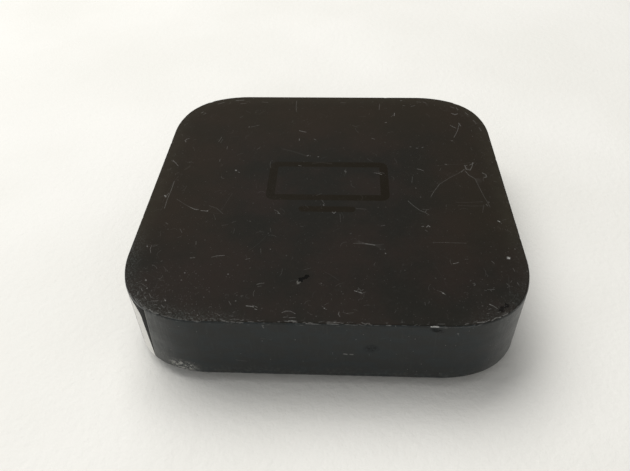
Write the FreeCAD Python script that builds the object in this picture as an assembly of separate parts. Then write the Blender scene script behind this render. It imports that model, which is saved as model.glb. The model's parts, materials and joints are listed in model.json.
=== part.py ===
"""Streaming media player: a 98 mm rounded-square set-top box, 23 mm high, with its ports in the rear wall.

Frame: +Z up, origin at the centre of the footprint on the surface it stands on, -Y is the front, +Y the rear
wall with the ports. Millimetres. Every piece is its own file in parts/.
"""
import FreeCAD, Part
import math
import os
import random
from FreeCAD import Vector as V

# ---------------------------------------------------------------- driving dimensions
WIDTH = 98.0            # over the side walls, X and Y
HEIGHT = 23.0           # surface to top face
SHELL_Z = 3.4           # lower edge of the side wall above the surface
WALL = 2.0              # side wall thickness
ROOF = 2.0              # top thickness
R_SIDE = 26.9           # corner: entry and exit arc radius
R_CORNER = 16.95        # corner: middle arc radius
TURN = math.radians(21.45)  # angle of each entry arc
TOP_EDGE_R = 0.55       # rounding of the top edge
CEIL = HEIGHT - ROOF    # underside of the top, z

FRONT_HOOKS = (-28.0, -4.0)
PAD_INSET, PAD_T = 5.3, 1.0
BOARD_Z, BOARD_T = 11.6, 1.2
BOARD_TOP = BOARD_Z + BOARD_T
PSU_Z, PSU_T = 5.8, 1.6
PSU_TOP = PSU_Z + PSU_T
SINK_Z, SINK_T = 5.0, 1.2
SCREWS = [(-38.0, 24.0), (9.5, 24.0), (-38.0, -30.0), (4.0, -31.0)]
PSU_SCREWS = [(39.5, 33.0), (38.5, -26.5)]

AC_X, AC_Z, AC_PITCH = 24.5, 12.6, 8.6     # appliance inlet, two round pins
AC_LOBE, AC_NOSE = 3.95, 4.75
AC_PIN_R, AC_PIN_Y = 1.2, (35.5, 46.2)
HDMI_X, HDMI_Z0, HDMI_Z1 = 6.0, 12.9, 18.4
USB_X, USB_Z0, USB_Z1 = 6.0, 8.8, 11.6
OPT_X, OPT_Z = -9.2, 12.3
OPT_W, OPT_H = 9.7, 10.2
OPT_OPEN = 8.3
HINGE_Y, HINGE_Z = 47.15, 15.6             # optical shutter's pivot line, along X
ETH_X, ETH_Z0, ETH_Z1 = -25.0, 5.6, 19.0
ETH_W = 16.0
PORT_FACE = 48.2                           # y of the ports' faces, behind the wall's outer face

HW = WIDTH / 2
os.makedirs("parts", exist_ok=True)
made = {}


# ---------------------------------------------------------------- helpers
def box(x0, x1, y0, y1, z0, z1):
    return Part.makeBox(x1 - x0, y1 - y0, z1 - z0, V(x0, y0, z0))


def cyl(x, y, z, r, h, axis=V(0, 0, 1)):
    return Part.makeCylinder(r, h, V(x, y, z), axis)


def outline(off, z):
    """Closed wire of the body's plan shape, moved inwards by off. Three tangent arcs a corner."""
    ra, rb = R_SIDE - off, R_CORNER - off
    reach = R_SIDE * (1 + math.sin(TURN) - math.cos(TURN)) + R_CORNER * (math.cos(TURN) - math.sin(TURN))
    start = V(HW - off, HW - reach, 0)
    pts, heading, p = [start], math.pi / 2, start
    arcs = []
    for r, a in ((ra, TURN), (rb, math.pi / 2 - 2 * TURN), (ra, TURN)):
        n = V(-math.sin(heading), math.cos(heading), 0)
        c = p + n * r

        def at(t, c=c, p=p):
            v = p - c
            return c + V(v.x * math.cos(t) - v.y * math.sin(t), v.x * math.sin(t) + v.y * math.cos(t), 0)

        arcs.append((p, at(a / 2), at(a)))
        p = at(a)
        heading += a
    edges = []

    def turned(v, k):
        for _ in range(k):
            v = V(-v.y, v.x, 0)
        return V(v.x, v.y, z)

    for k in range(4):
        for a, m, b in arcs:
            edges.append(Part.Arc(turned(a, k), turned(m, k), turned(b, k)).toShape())
        edges.append(Part.LineSegment(turned(arcs[-1][2], k), turned(arcs[0][0], k + 1)).toShape())
    return Part.Wire(edges)


def prism(off, z0, z1):
    return Part.Face(outline(off, z0)).extrude(V(0, 0, z1 - z0))


def bevel(off0, z0, off1, z1):
    return Part.makeLoft([outline(off0, z0), outline(off1, z1)], True, True)


def poly(points, plane, a, b):
    """Polygon extruded from a to b. plane 'xz': points are (x, z), along Y. 'yz': (y, z), along X. 'xy': (x, y), along Z."""
    if plane == "xz":
        vs, d = [V(x, a, z) for x, z in points], V(0, b - a, 0)
    elif plane == "yz":
        vs, d = [V(a, y, z) for y, z in points], V(b - a, 0, 0)
    else:
        vs, d = [V(x, y, a) for x, y in points], V(0, 0, b - a)
    return Part.Face(Part.makePolygon(vs + [vs[0]])).extrude(d)


def fuse(*shapes):
    s = shapes[0].multiFuse(list(shapes[1:])) if len(shapes) > 1 else shapes[0]
    return s.removeSplitter()


def cut(shape, *tools):
    return shape.cut(list(tools)) if tools else shape


def fillet(shape, r, test, chamfer=False):
    edges = [e for e in shape.Edges if test(e)]
    return shape.makeChamfer(r, edges) if chamfer else shape.makeFillet(r, edges)


def flat_at(z, tol=1e-3):
    return lambda e: abs(e.BoundBox.ZMin - z) < tol and abs(e.BoundBox.ZMax - z) < tol


def upright(e):
    return e.BoundBox.XLength < 1e-3 and e.BoundBox.YLength < 1e-3


def rounded(x0, x1, y0, y1, z0, z1, r):
    return fillet(box(x0, x1, y0, y1, z0, z1), r, upright)


def tube(points, r, share=0.45):
    """Round tube along straight runs joined by tangent arcs, each as large as its runs allow."""
    P = [V(*p) for p in points]
    edges, last = [], P[0]
    for i in range(1, len(P) - 1):
        a, b = (P[i - 1] - P[i]), (P[i + 1] - P[i])
        t = share * min(a.Length, b.Length)
        a.normalize()
        b.normalize()
        half = (math.pi - a.getAngle(b)) / 2
        radius = t / math.tan(half)
        s, e = P[i] + a * t, P[i] + b * t
        bis = a + b
        bis.normalize()
        m = P[i] + bis * (radius / math.cos(half) - radius)
        if (s - last).Length > 1e-6:
            edges.append(Part.LineSegment(last, s).toShape())
        edges.append(Part.Arc(s, m, e).toShape())
        last = e
    edges.append(Part.LineSegment(last, P[-1]).toShape())
    d = P[1] - P[0]
    ring = Part.Wire([Part.Circle(P[0], d, r).toShape()])
    return Part.Wire(edges).makePipeShell([ring], True, False)


def save(name, *shapes):
    solids = []
    for s in shapes:
        solids += s.Solids
    assert solids, name
    for s in solids:
        assert s.isValid() and s.Volume > 0, f"{name}: bad solid"
    shape = solids[0] if len(solids) == 1 else Part.makeCompound(solids)
    shape.exportStep(f"parts/{name}.step")
    made[name] = shape
    print(f"{name}: {len(solids)} solid(s), {shape.Volume:.1f} mm3")


def y_rod(x, z, r, y0, y1):
    return cyl(x, y0, z, r, y1 - y0, V(0, 1, 0))


def stadium(x, z, half, r, y0, y1):
    return fuse(y_rod(x - half, z, r, y0, y1), y_rod(x + half, z, r, y0, y1), box(x - half, x + half, y0, y1, z - r, z + r))


def eight(x, z, half, r, waist, y0, y1):
    return fuse(y_rod(x - half, z, r, y0, y1), y_rod(x + half, z, r, y0, y1), box(x - half, x + half, y0, y1, z - waist, z + waist))


def screw(x, y, z_head, head_r, head_h, shank_r, length):
    """Pan-head screw pointing up, its head below z_head, with a cross recess."""
    head = cyl(x, y, z_head - head_h, head_r, head_h)
    head = fillet(head, head_h * 0.45, flat_at(z_head - head_h))
    s = fuse(head, cyl(x, y, z_head, shank_r, length))
    d = head_h * 0.6
    return cut(s, box(x - head_r * 0.62, x + head_r * 0.62, y - 0.22, y + 0.22, z_head - head_h, z_head - head_h + d),
               box(x - 0.22, x + 0.22, y - head_r * 0.62, y + head_r * 0.62, z_head - head_h, z_head - head_h + d))


# ---------------------------------------------------------------- outlines shared by ports and wall
def hdmi_poly(grow):
    x, z0, z1 = HDMI_X, HDMI_Z0 - grow, HDMI_Z1 + grow
    w, n, k = 7.5 + grow, 5.7 + grow * 0.72, HDMI_Z0 + 2.7 - grow * 0.4
    return [(x - n, z0), (x + n, z0), (x + w, k), (x + w, z1), (x - w, z1), (x - w, k)]


def usb_poly(grow, top=0.0):
    x, z0, z1 = USB_X, USB_Z0 - grow, USB_Z1 + top
    w, n, k = 3.9 + grow, 2.9 + grow * 0.7, USB_Z0 + 1.1 - grow * 0.3
    return [(x - n, z0), (x + n, z0), (x + w, k), (x + w, z1), (x - w, z1), (x - w, k)]


# ---------------------------------------------------------------- top case
outer = prism(0, SHELL_Z, HEIGHT)
outer = fillet(outer, TOP_EDGE_R, flat_at(HEIGHT))
outer = fillet(outer, 0.3, flat_at(SHELL_Z), chamfer=True)
case = outer.cut(prism(WALL, SHELL_Z - 1, CEIL))
inner_space = prism(WALL, SHELL_Z, CEIL)
# posts that hang from the roof and take the screws
posts = [cyl(x, y, BOARD_TOP, 2.75, CEIL - BOARD_TOP + 0.5) for x, y in SCREWS]
posts += [cyl(x, y, PSU_TOP, 2.6, CEIL - PSU_TOP + 0.5) for x, y in PSU_SCREWS]
# shallow roof ribs
ribs = [box(-45.5, 14.0, y - 0.5, y + 0.5, CEIL - 0.8, CEIL + 0.2) for y in (-32.0, 32.0)]
ribs += [box(x - 0.5, x + 0.5, -34.0, 34.0, CEIL - 0.8, CEIL + 0.2) for x in (-44.0, 15.0)]
# guide ribs for the sensor board behind the front wall
guides = [box(15.4, 17.4, -47.5, -41.7, 5.6, CEIL + 0.2), box(36.5, 38.3, -47.5, -41.7, 7.6, CEIL + 0.2)]
guides = [g.common(prism(0.8, SHELL_Z, HEIGHT - 0.8)) for g in guides]
case = fuse(case, *posts, *ribs, *guides)
cuts = [cyl(x, y, BOARD_TOP - 1, 1.0, 7.4) for x, y in SCREWS]
cuts += [cyl(x, y, PSU_TOP - 1, 1.0, 10.0) for x, y in PSU_SCREWS]
cuts += [box(16.4, 37.3, -43.75, -42.45, 5.0, 18.6)]               # the slots that hold the board's ends
cuts += [cyl(33.0, -47.75, 9.0, 1.05, 2.2, V(0, 1, 0))]            # thinned spot in front of the status light
# catch grooves for the base cover
for x in (-1, 1):
    for y in (-17.0, 17.0):
        cuts.append(box(min(x * 46.5, x * 47.65), max(x * 46.5, x * 47.65), y - 4.2, y + 4.2, 5.1, 6.7))
for x in FRONT_HOOKS:
    cuts.append(box(x - 4.2, x + 4.2, -47.65, -46.5, 5.1, 6.7))
# port apertures in the rear wall
REAR0, REAR1 = 45.0, 50.0
cuts += [stadium(AC_X, AC_Z, AC_PITCH / 2, AC_NOSE + 0.15, REAR0, REAR1)]
cuts += [poly(hdmi_poly(0.2), "xz", REAR0, REAR1)]
cuts += [poly(usb_poly(0.5, 0.2), "xz", REAR0, REAR1)]
cuts += [box(OPT_X - OPT_W / 2 - 0.15, OPT_X + OPT_W / 2 + 0.15, REAR0, REAR1, OPT_Z - OPT_H / 2 - 0.15, OPT_Z + OPT_H / 2 + 0.15)]
cuts += [box(ETH_X - ETH_W / 2 - 0.15, ETH_X + ETH_W / 2 + 0.15, REAR0, REAR1, ETH_Z0 - 0.15, ETH_Z1 + 0.15)]
case = cut(case, *cuts)
save("top_case", case)

# ---------------------------------------------------------------- base cover and foot
base = fuse(bevel(3.6, 0.5, 0.9, 2.6), prism(0.9, 2.6, 3.2))
base = base.cut(prism(PAD_INSET - 0.1, 0.0, PAD_T))
rim = prism(WALL + 0.15, 3.2, 7.0).cut(prism(WALL + 1.45, 3.0, 7.5))
rim = cut(rim, box(-36, 36, 38, 50, 4.4, 8), box(12, 42, -50, -38, 4.4, 8))
for x in (-40.0, 40.0):                                            # relief slots beside the rear corners
    rim = rim.cut(box(x - 1, x + 1, 30, 50, 4.4, 8))
hooks = []
for sx in (-1, 1):
    for y in (-17.0, 17.0):
        h = poly([(46.0, 5.3), (47.35, 5.3), (47.35, 5.6), (46.7, 6.5), (46.0, 6.5)], "xz", y - 3.6, y + 3.6)
        hooks.append(h if sx > 0 else h.mirror(V(0, 0, 0), V(1, 0, 0)))
for x in FRONT_HOOKS:
    hooks.append(poly([(-46.0, 5.3), (-47.35, 5.3), (-47.35, 5.6), (-46.7, 6.5), (-46.0, 6.5)], "yz", x - 3.6, x + 3.6))
base_ribs = [box(x - 0.5, x + 0.5, -44.5, 44.5, 3.0, 3.7) for x in (-22.0, 0.0, 22.0)]
base_ribs += [box(-44.5, 44.5, y - 0.5, y + 0.5, 3.0, 3.7) for y in (-20.0, 0.0, 20.0)]
base = fuse(base, rim, *hooks, *base_ribs)
save("base_cover", base)
pad = fillet(prism(PAD_INSET, 0.0, PAD_T), 0.35, flat_at(0.0))
save("foot_pad", pad)

# ---------------------------------------------------------------- main board and what stands on it
board = fuse(prism(3.0, BOARD_Z, BOARD_TOP).common(box(-46.2, 14.6, -36.0, 46.4, 0, 30)),
             box(10.0, 30.0, -37.0, -31.6, BOARD_Z, BOARD_TOP))
board = fillet(board, 0.8, lambda e: upright(e) and e.BoundBox.XMin > 14.0)
holes = [cyl(x, y, BOARD_Z - 1, 1.15, 4) for x, y in SCREWS]
holes += [box(ETH_X - 8.3, ETH_X + 8.3, 31.7, 47.0, 10, 14), box(OPT_X - 5.05, OPT_X + 5.05, 34.2, 47.0, 10, 14)]
holes += [box(HDMI_X + s * 7.32 - 0.4, HDMI_X + s * 7.32 + 0.4, y, y + 1.9, 10, 14) for s in (-1, 1) for y in (39.2, 44.2)]
board = cut(board, *holes)
save("main_board", board)

SOC = (-16.0, 4.0)
soc = fuse(box(SOC[0] - 7, SOC[0] + 7, SOC[1] - 7, SOC[1] + 7, 11.1, BOARD_Z),
           fillet(box(SOC[0] - 6.4, SOC[0] + 6.4, SOC[1] - 6.4, SOC[1] + 6.4, 10.4, 11.1), 0.25, flat_at(10.4), chamfer=True))
save("processor", soc)
save("thermal_pad", box(SOC[0] - 6, SOC[0] + 6, SOC[1] - 6, SOC[1] + 6, 9.4, 10.4))
shield = box(SOC[0] - 13, SOC[0] + 13, SOC[1] - 11, SOC[1] + 11, 8.9, BOARD_Z)
shield = fillet(shield, 0.8, upright)
shield = fillet(shield, 0.4, flat_at(8.9))
can_in = fillet(box(SOC[0] - 12.8, SOC[0] + 12.8, SOC[1] - 10.8, SOC[1] + 10.8, 9.1, BOARD_Z + 1), 0.6, upright)
shield = cut(shield, can_in, rounded(SOC[0] - 8.5, SOC[0] + 8.5, SOC[1] - 8.5, SOC[1] + 8.5, 8, 9.5, 1.2),
             *[cyl(SOC[0] + dx, SOC[1] + dy, 8, 0.5, 1.5) for dx in (-10.8, 10.8) for dy in (-6, -3, 0, 3, 6)])
save("processor_shield", shield)


def chip(x0, x1, y0, y1, z0, z1, pin1=True, up=True):
    """Moulded package with a bevelled edge and a pin-1 dimple."""
    face = z1 if up else z0
    s = fillet(box(x0, x1, y0, y1, z0, z1), 0.12, flat_at(face), chamfer=True)
    if pin1:
        s = s.cut(cyl(x0 + 1.1, y0 + 1.1, face - 0.08 if up else face - 0.02, 0.35, 0.1))
    return s


def gull_pins(x0, x1, y0, y1, z_board, n, pitch, up=True, height=0.45, sides="x"):
    """Rows of small formed leads along two sides of a package."""
    out, s = [], 1 if up else -1
    mid = (y0 + y1) / 2 if sides == "x" else (x0 + x1) / 2
    for i in range(n):
        c = mid + (i - (n - 1) / 2) * pitch
        for e, d in (((x0 if sides == "x" else y0), -1), ((x1 if sides == "x" else y1), 1)):
            pts = [(e, z_board + s * height), (e + d * 0.35, z_board + s * height), (e + d * 0.5, z_board + s * 0.12), (e + d * 0.9, z_board + s * 0.12),
                   (e + d * 0.9, z_board), (e + d * 0.36, z_board), (e + d * 0.22, z_board + s * (height - 0.14)), (e, z_board + s * (height - 0.14))]
            if sides == "x":
                out.append(poly(pts, "xz", c - pitch * 0.22, c + pitch * 0.22))
            else:
                out.append(poly(pts, "yz", c - pitch * 0.22, c + pitch * 0.22))
    return out


save("flash_memory", chip(-4, 8, -26.2, -8.2, 10.5, 11.48, up=False))
leads = gull_pins(-4, 8, -26.2, -8.2, BOARD_Z, 24, 0.7, up=False, height=0.5, sides="x")
wifi = fillet(box(-42, -26, -26, -12, BOARD_TOP, 15.0), 0.35, lambda e: upright(e) or flat_at(15.0)(e))
save("radio_module", wifi)
save("interface_chips", chip(-12, -7, 20, 25, BOARD_TOP, BOARD_TOP + 0.88), chip(0, 7, -2, 5, BOARD_TOP, BOARD_TOP + 0.92))
mag = fillet(box(-31.5, -18.5, 18.5, 28.0, BOARD_TOP + 0.25, 18.4), 0.3, lambda e: flat_at(18.4)(e), chamfer=True)
save("network_transformer", mag)
save("package_leads", *leads, *gull_pins(-31.5, -18.5, 18.5, 28.0, BOARD_TOP, 8, 1.1, up=True, height=1.1, sides="y"))
coils = []
for x, y in ((10.4, 11.5), (10.4, 4.5), (2.6, 12.0)):
    c = fillet(box(x - 2.9, x + 2.9, y - 2.9, y + 2.9, BOARD_TOP, BOARD_TOP + 2.8), 0.8, upright)
    c = fillet(c, 0.3, flat_at(BOARD_TOP + 2.8))
    coils.append(c)
save("power_inductors", *coils)
save("clock_crystals", *[fillet(box(x, x + 3.2, y, y + 2.5, BOARD_TOP, BOARD_TOP + 0.75), 0.4, upright) for x, y in ((-15.6, 13.0), (-5.6, 21.0))])

# small surface-mount parts, placed clear of everything else
rng = random.Random(11)
KEEP_TOP = [(-43, -25, -27, -11), (-13, -6, 19, 26), (-1, 8, -3, 6), (-32.5, -17.5, 16.6, 29.4), (7, 14, 1, 15), (-1, 6, 8.5, 15.5), (-16.2, -11.8, 12.5, 16),
            (-6, -2, 20.5, 24), (7.4, 15, -30, -18.5), (ETH_X - 10.6, ETH_X + 10.6, 31, 47), (OPT_X - 7.2, OPT_X + 7, 33.5, 47), (-3, 15, 34.5, 47), (14, 31, -38, -31)]
KEEP_BOTTOM = [(-29.6, -2.4, -7.6, 15.6), (-5.4, 9.4, -27.4, -7.2), (ETH_X - 10.6, ETH_X + 10.6, 30, 47), (OPT_X - 7, OPT_X + 7, 33.5, 47), (0, 12, 40, 47), (14, 31, -38, -31)]
KEEP_BOTTOM += [(x - 3, x + 3, y - 3, y + 3) for x, y in SCREWS]
KEEP_TOP += [(x - 3.4, x + 3.4, y - 3.4, y + 3.4) for x, y in SCREWS]
bits, ends = [], []
for keep, n, up in ((KEEP_TOP, 34, True), (KEEP_BOTTOM, 26, False)):
    used = list(keep)
    count = 0
    while count < n:
        x, y = rng.uniform(-41, 12), rng.uniform(-33, 40)
        l, w, h = rng.choice([(1.6, 0.8, 0.6), (2.0, 1.2, 0.9), (1.0, 0.5, 0.4)])
        if rng.random() < 0.5:
            l, w = w, l
        x, y = round(x, 1), round(y, 1)
        if abs(x) > 38 and abs(y) > 28:
            continue
        if any(x + l / 2 + 0.3 > a and x - l / 2 - 0.3 < b and y + w / 2 + 0.3 > c and y - w / 2 - 0.3 < d for a, b, c, d in used):
            continue
        used.append((x - l / 2, x + l / 2, y - w / 2, y + w / 2))
        z0, z1 = (BOARD_TOP, BOARD_TOP + h) if up else (BOARD_Z - h, BOARD_Z)
        e = 0.22 * max(l, w)
        if l > w:
            bits.append(box(x - l / 2 + e, x + l / 2 - e, y - w / 2, y + w / 2, z0, z1))
            ends += [box(x - l / 2, x - l / 2 + e, y - w / 2, y + w / 2, z0, z1), box(x + l / 2 - e, x + l / 2, y - w / 2, y + w / 2, z0, z1)]
        else:
            bits.append(box(x - l / 2, x + l / 2, y - w / 2 + e, y + w / 2 - e, z0, z1))
            ends += [box(x - l / 2, x + l / 2, y - w / 2, y - w / 2 + e, z0, z1), box(x - l / 2, x + l / 2, y + w / 2 - e, y + w / 2, z0, z1)]
        count += 1
save("small_components", *bits)
save("small_component_ends", *ends)

# ---------------------------------------------------------------- heat sink, standoffs, frame screws
sink = prism(3.8, SINK_Z, SINK_Z + SINK_T).common(box(-45.2, 13.0, -40.0, 29.0, 0, 30))
sink = fillet(sink, 2.0, lambda e: upright(e) and e.BoundBox.XMin > 12.9)
sink = fuse(sink, fillet(box(SOC[0] - 7, SOC[0] + 7, SOC[1] - 7, SOC[1] + 7, SINK_Z + SINK_T - 0.2, 9.4), 0.6, upright),
            *[box(-32.0, 0.0, y - 0.4, y + 0.4, SINK_Z - 1.0, SINK_Z + 0.2) for y in (-14, -10.5, -7, -3.5, 3.5, 7, 10.5, 14)])
sink = cut(sink, *[cyl(x, y, 0, 1.15, 12) for x, y in SCREWS],
           *[rounded(x - 4, x + 4, y - 1, y + 1, 0, 12, 0.95) for x in (-34.0, 4.0) for y in (-14, -10, 14, 18)])
save("heat_sink", sink)
save("board_standoffs", *[Part.makeCylinder(2.25, BOARD_Z - SINK_Z - SINK_T, V(x, y, SINK_Z + SINK_T)).cut(cyl(x, y, 5, 1.1, 8)) for x, y in SCREWS])
save("frame_screws", *[screw(x, y, SINK_Z, 1.9, 1.1, 0.96, 13.6) for x, y in SCREWS])

# ---------------------------------------------------------------- sensor board behind the front wall
save("sensor_board", box(16.7, 37.0, -43.6, -42.6, 6.6, 18.4))
rec = fillet(box(22.0, 27.6, -46.1, -43.6, 9.0, 14.6), 0.5, lambda e: e.BoundBox.YMin < -46.0 and e.BoundBox.YLength < 1e-3)
rec = fuse(rec, Part.makeSphere(2.3, V(24.8, -44.6, 12.0)).common(box(20, 30, -48, -46.1, 5, 20)))
save("ir_receiver", rec)
save("status_led", box(32.2, 33.8, -44.25, -43.6, 8.6, 9.4))
guide = fuse(y_rod(33.0, 9.0, 1.03, -47.7, -44.3), y_rod(33.0, 9.0, 1.6, -45.9, -45.3))
save("light_guide", guide)
save("flex_connectors", fillet(box(18.6, 25.4, -42.6, -40.7, 11.0, 12.4), 0.2, lambda e: flat_at(12.4)(e)),
     fillet(box(18.6, 25.4, -36.6, -34.3, BOARD_TOP, BOARD_TOP + 1.2), 0.2, lambda e: flat_at(BOARD_TOP + 1.2)(e)))
# flat ribbon between the two boards: constant thickness strip, S-shaped
def ribbon(points, t):
    """Outline of a strip of thickness t that follows points in the YZ plane."""
    left, right = [], []
    for i, (y, z) in enumerate(points):
        a = points[max(i - 1, 0)]
        b = points[min(i + 1, len(points) - 1)]
        d = math.hypot(b[0] - a[0], b[1] - a[1])
        ny, nz = -(b[1] - a[1]) / d, (b[0] - a[0]) / d
        left.append((y + ny * t / 2, z + nz * t / 2))
        right.append((y - ny * t / 2, z - nz * t / 2))
    return left + right[::-1]


ya, za, yb, zb = -40.66, 11.7, -36.64, BOARD_TOP + 0.6
curve = [(ya + (yb - ya) * i / 16, za + (zb - za) * (3 * (i / 16) ** 2 - 2 * (i / 16) ** 3) + 0.55 * math.sin(math.pi * i / 16) ** 2) for i in range(17)]
save("sensor_ribbon", poly(ribbon(curve, 0.16), "yz", 19.3, 24.7))

# ---------------------------------------------------------------- antenna and its lead
ant = fuse(rounded(-40.0, -14.0, -43.0, -37.0, CEIL - 0.2, CEIL, 1.0))
ant = cut(ant, box(-36.0, -20.0, -41.2, -40.4, 20, 22), box(-20.8, -20.0, -41.2, -38.2, 20, 22), box(-34.0, -24.0, -39.0, -38.2, 20, 22))
save("antenna", ant)
plug = fuse(cyl(-30.0, -16.0, 15.0, 1.35, 1.0), box(-31.0, -29.0, -18.8, -16.0, 15.0, 16.2))
save("antenna_plug", plug)
lead = tube([(-24.0, -38.4, 20.25), (-24.0, -33.6, 19.7), (-25.2, -28.6, 18.2), (-28.8, -24.9, 16.4), (-30.0, -22.4, 15.6), (-30.0, -18.8, 15.6)], 0.55)
save("antenna_lead", lead)

# ---------------------------------------------------------------- network socket
ex0, ex1 = ETH_X - ETH_W / 2, ETH_X + ETH_W / 2
shell = box(ex0, ex1, 32.0, PORT_FACE - 0.1, ETH_Z0, ETH_Z1)
shell = fillet(shell, 0.6, lambda e: e.BoundBox.XLength < 1e-3 and e.BoundBox.ZLength < 1e-3)
shell = shell.cut(box(ex0 + 0.3, ex1 - 0.3, 30, 50, ETH_Z0 + 0.3, ETH_Z1 - 0.3))
tabs = [box(ex0 - 1.5, ex0 + 0.1, y, y + 2.2, BOARD_TOP, BOARD_TOP + 0.3) for y in (35.0, 41.0)]
tabs += [box(ex1 - 0.1, ex1 + 1.3, y, y + 2.2, BOARD_TOP, BOARD_TOP + 0.3) for y in (35.0, 41.0)]
shell = fuse(shell, *tabs)
save("network_socket_shell", shell)
insert = fillet(box(ex0 + 0.33, ex1 - 0.33, 33.0, 47.4, ETH_Z0 + 0.33, ETH_Z1 - 0.33), 0.3, lambda e: e.BoundBox.XLength < 1e-3 and e.BoundBox.ZLength < 1e-3)
c0 = ETH_Z0 + 4.6
cavity = fuse(box(ETH_X - 5.95, ETH_X + 5.95, 36.0, 48.0, c0, c0 + 7.3), box(ETH_X - 3.1, ETH_X + 3.1, 36.0, 48.0, c0 - 1.6, c0 + 0.1),
              box(ETH_X - 1.75, ETH_X + 1.75, 36.0, 48.0, c0 - 2.9, c0 - 1.5))
insert = insert.cut(cavity)
combs = [box(ETH_X + (i - 4) * 1.02 - 0.16, ETH_X + (i - 4) * 1.02 + 0.16, 35.9, 38.6, c0 + 3.6, c0 + 7.3) for i in range(9)]
insert = fuse(insert, *combs)
save("network_socket_insert", insert)
top = c0 + 7.3
wires = []
for i in range(8):
    x = ETH_X + (i - 3.5) * 1.02
    wires.append(poly([(46.6, top), (46.6, top - 0.45), (46.1, top - 0.62), (38.3, top - 3.3), (38.05, top - 2.95), (45.6, top - 0.32), (46.1, top)], "yz", x - 0.2, x + 0.2))
save("network_socket_contacts", *wires)

# ---------------------------------------------------------------- video socket
hs = poly(hdmi_poly(0), "xz", 37.0, PORT_FACE)
hs = fillet(hs, 0.45, lambda e: e.BoundBox.XLength < 1e-3 and e.BoundBox.ZLength < 1e-3)
hs = hs.cut(poly(hdmi_poly(-0.35), "xz", 36.0, 50.0))
legs = [box(HDMI_X + s * 7.32 - 0.16, HDMI_X + s * 7.32 + 0.16, y + 0.2, y + 1.7, 10.9, 15.8) for s in (-1, 1) for y in (39.2, 44.2)]
slots = [box(HDMI_X + dx - 0.9, HDMI_X + dx + 0.9, 41.0, 46.4, z - 0.5, z + 0.5).cut(box(HDMI_X + dx - 0.6, HDMI_X + dx + 0.6, 40.0, 46.1, z - 1, z + 1))
         for dx in (-3.4, 3.4) for z in (HDMI_Z0, HDMI_Z1)]
hs = fuse(hs, *legs)
hs = cut(hs, *slots)
save("video_socket_shell", hs)
tongue = fuse(poly(hdmi_poly(-0.4), "xz", 37.2, 39.6), fillet(box(HDMI_X - 6.0, HDMI_X + 6.0, 39.5, 47.0, 15.2, 16.3), 0.25, lambda e: e.BoundBox.YMin > 46.9, chamfer=True))
save("video_socket_tongue", tongue)
vc = [box(HDMI_X - 4.5 + i - 0.25, HDMI_X - 4.5 + i + 0.25, 39.7, 46.4, 16.3, 16.4) for i in range(10)]
vc += [box(HDMI_X - 4.0 + i - 0.25, HDMI_X - 4.0 + i + 0.25, 39.7, 46.4, 15.1, 15.2) for i in range(9)]
vc += [box(HDMI_X - 4.5 + 0.5 * i - 0.12, HDMI_X - 4.5 + 0.5 * i + 0.12, 35.4, 36.95, BOARD_TOP, BOARD_TOP + 0.15) for i in range(19)]
save("video_socket_contacts", *vc)

# ---------------------------------------------------------------- service socket, under the board
us = poly(usb_poly(0), "xz", 42.6, 47.7)
flare = poly(usb_poly(0.3), "xz", 47.6, PORT_FACE)
us = fuse(us, flare)
us = us.cut(poly(usb_poly(-0.3, -0.3), "xz", 40.0, 50.0))
save("service_socket_shell", us)
ut = fuse(poly(usb_poly(-0.35, -0.35), "xz", 42.8, 43.7), box(USB_X - 2.2, USB_X + 2.2, 43.6, 47.2, 10.25, 10.8))
save("service_socket_tongue", ut)
save("service_socket_contacts", *[box(USB_X + (i - 2) * 0.65 - 0.18, USB_X + (i - 2) * 0.65 + 0.18, 43.8, 47.0, 10.8, 10.88) for i in range(5)])

# ---------------------------------------------------------------- optical socket with its sprung shutter
ox0, ox1, oz0, oz1 = OPT_X - OPT_W / 2, OPT_X + OPT_W / 2, OPT_Z - OPT_H / 2, OPT_Z + OPT_H / 2
oo = OPT_OPEN / 2
hole = [(OPT_X - oo + 1.6, OPT_Z - oo), (OPT_X + oo - 1.6, OPT_Z - oo), (OPT_X + oo, OPT_Z - oo + 1.6), (OPT_X + oo, OPT_Z + oo), (OPT_X - oo, OPT_Z + oo), (OPT_X - oo, OPT_Z - oo + 1.6)]
oh = fillet(box(ox0, ox1, 34.5, PORT_FACE, oz0, oz1), 0.4, lambda e: e.BoundBox.XLength < 1e-3 and e.BoundBox.ZLength < 1e-3)
oh = fuse(oh, box(ox0 - 1.1, ox0 + 0.1, 36.0, 42.0, BOARD_TOP, BOARD_TOP + 1.4), box(ox1 - 0.1, ox1 + 1.1, 36.0, 42.0, BOARD_TOP, BOARD_TOP + 1.4))
oh = cut(oh, poly(hole, "xz", 39.0, 50.0), box(OPT_X - 3.0, OPT_X + 3.0, 34.0, 38.2, OPT_Z - 3.2, OPT_Z + 3.2), y_rod(OPT_X, OPT_Z, 1.6, 38.0, 39.5),
         cyl(OPT_X - 4.72, HINGE_Y, HINGE_Z, 0.45, 9.44, V(1, 0, 0)),
         box(OPT_X - 1.0, OPT_X + 1.0, 42.6, 46.2, OPT_Z + oo - 0.1, OPT_Z + oo + 0.35))
save("optical_socket_housing", oh)
em = fuse(box(OPT_X - 2.95, OPT_X + 2.95, 34.9, 37.6, OPT_Z - 3.2, OPT_Z + 3.1), Part.makeSphere(1.35, V(OPT_X, 37.4, OPT_Z)).common(box(-20, 0, 37.6, 40, 5, 20)))
leads = [box(OPT_X + dx - 0.25, OPT_X + dx + 0.25, 33.2, 34.9, 14.6, 15.0) for dx in (-1.5, 0, 1.5)]
leads += [box(OPT_X + dx - 0.25, OPT_X + dx + 0.25, 33.2, 33.6, BOARD_TOP, 14.6) for dx in (-1.5, 0, 1.5)]
save("optical_emitter", fuse(em, *leads))
sx0, sx1 = OPT_X - 3.95, OPT_X + 3.95
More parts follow.
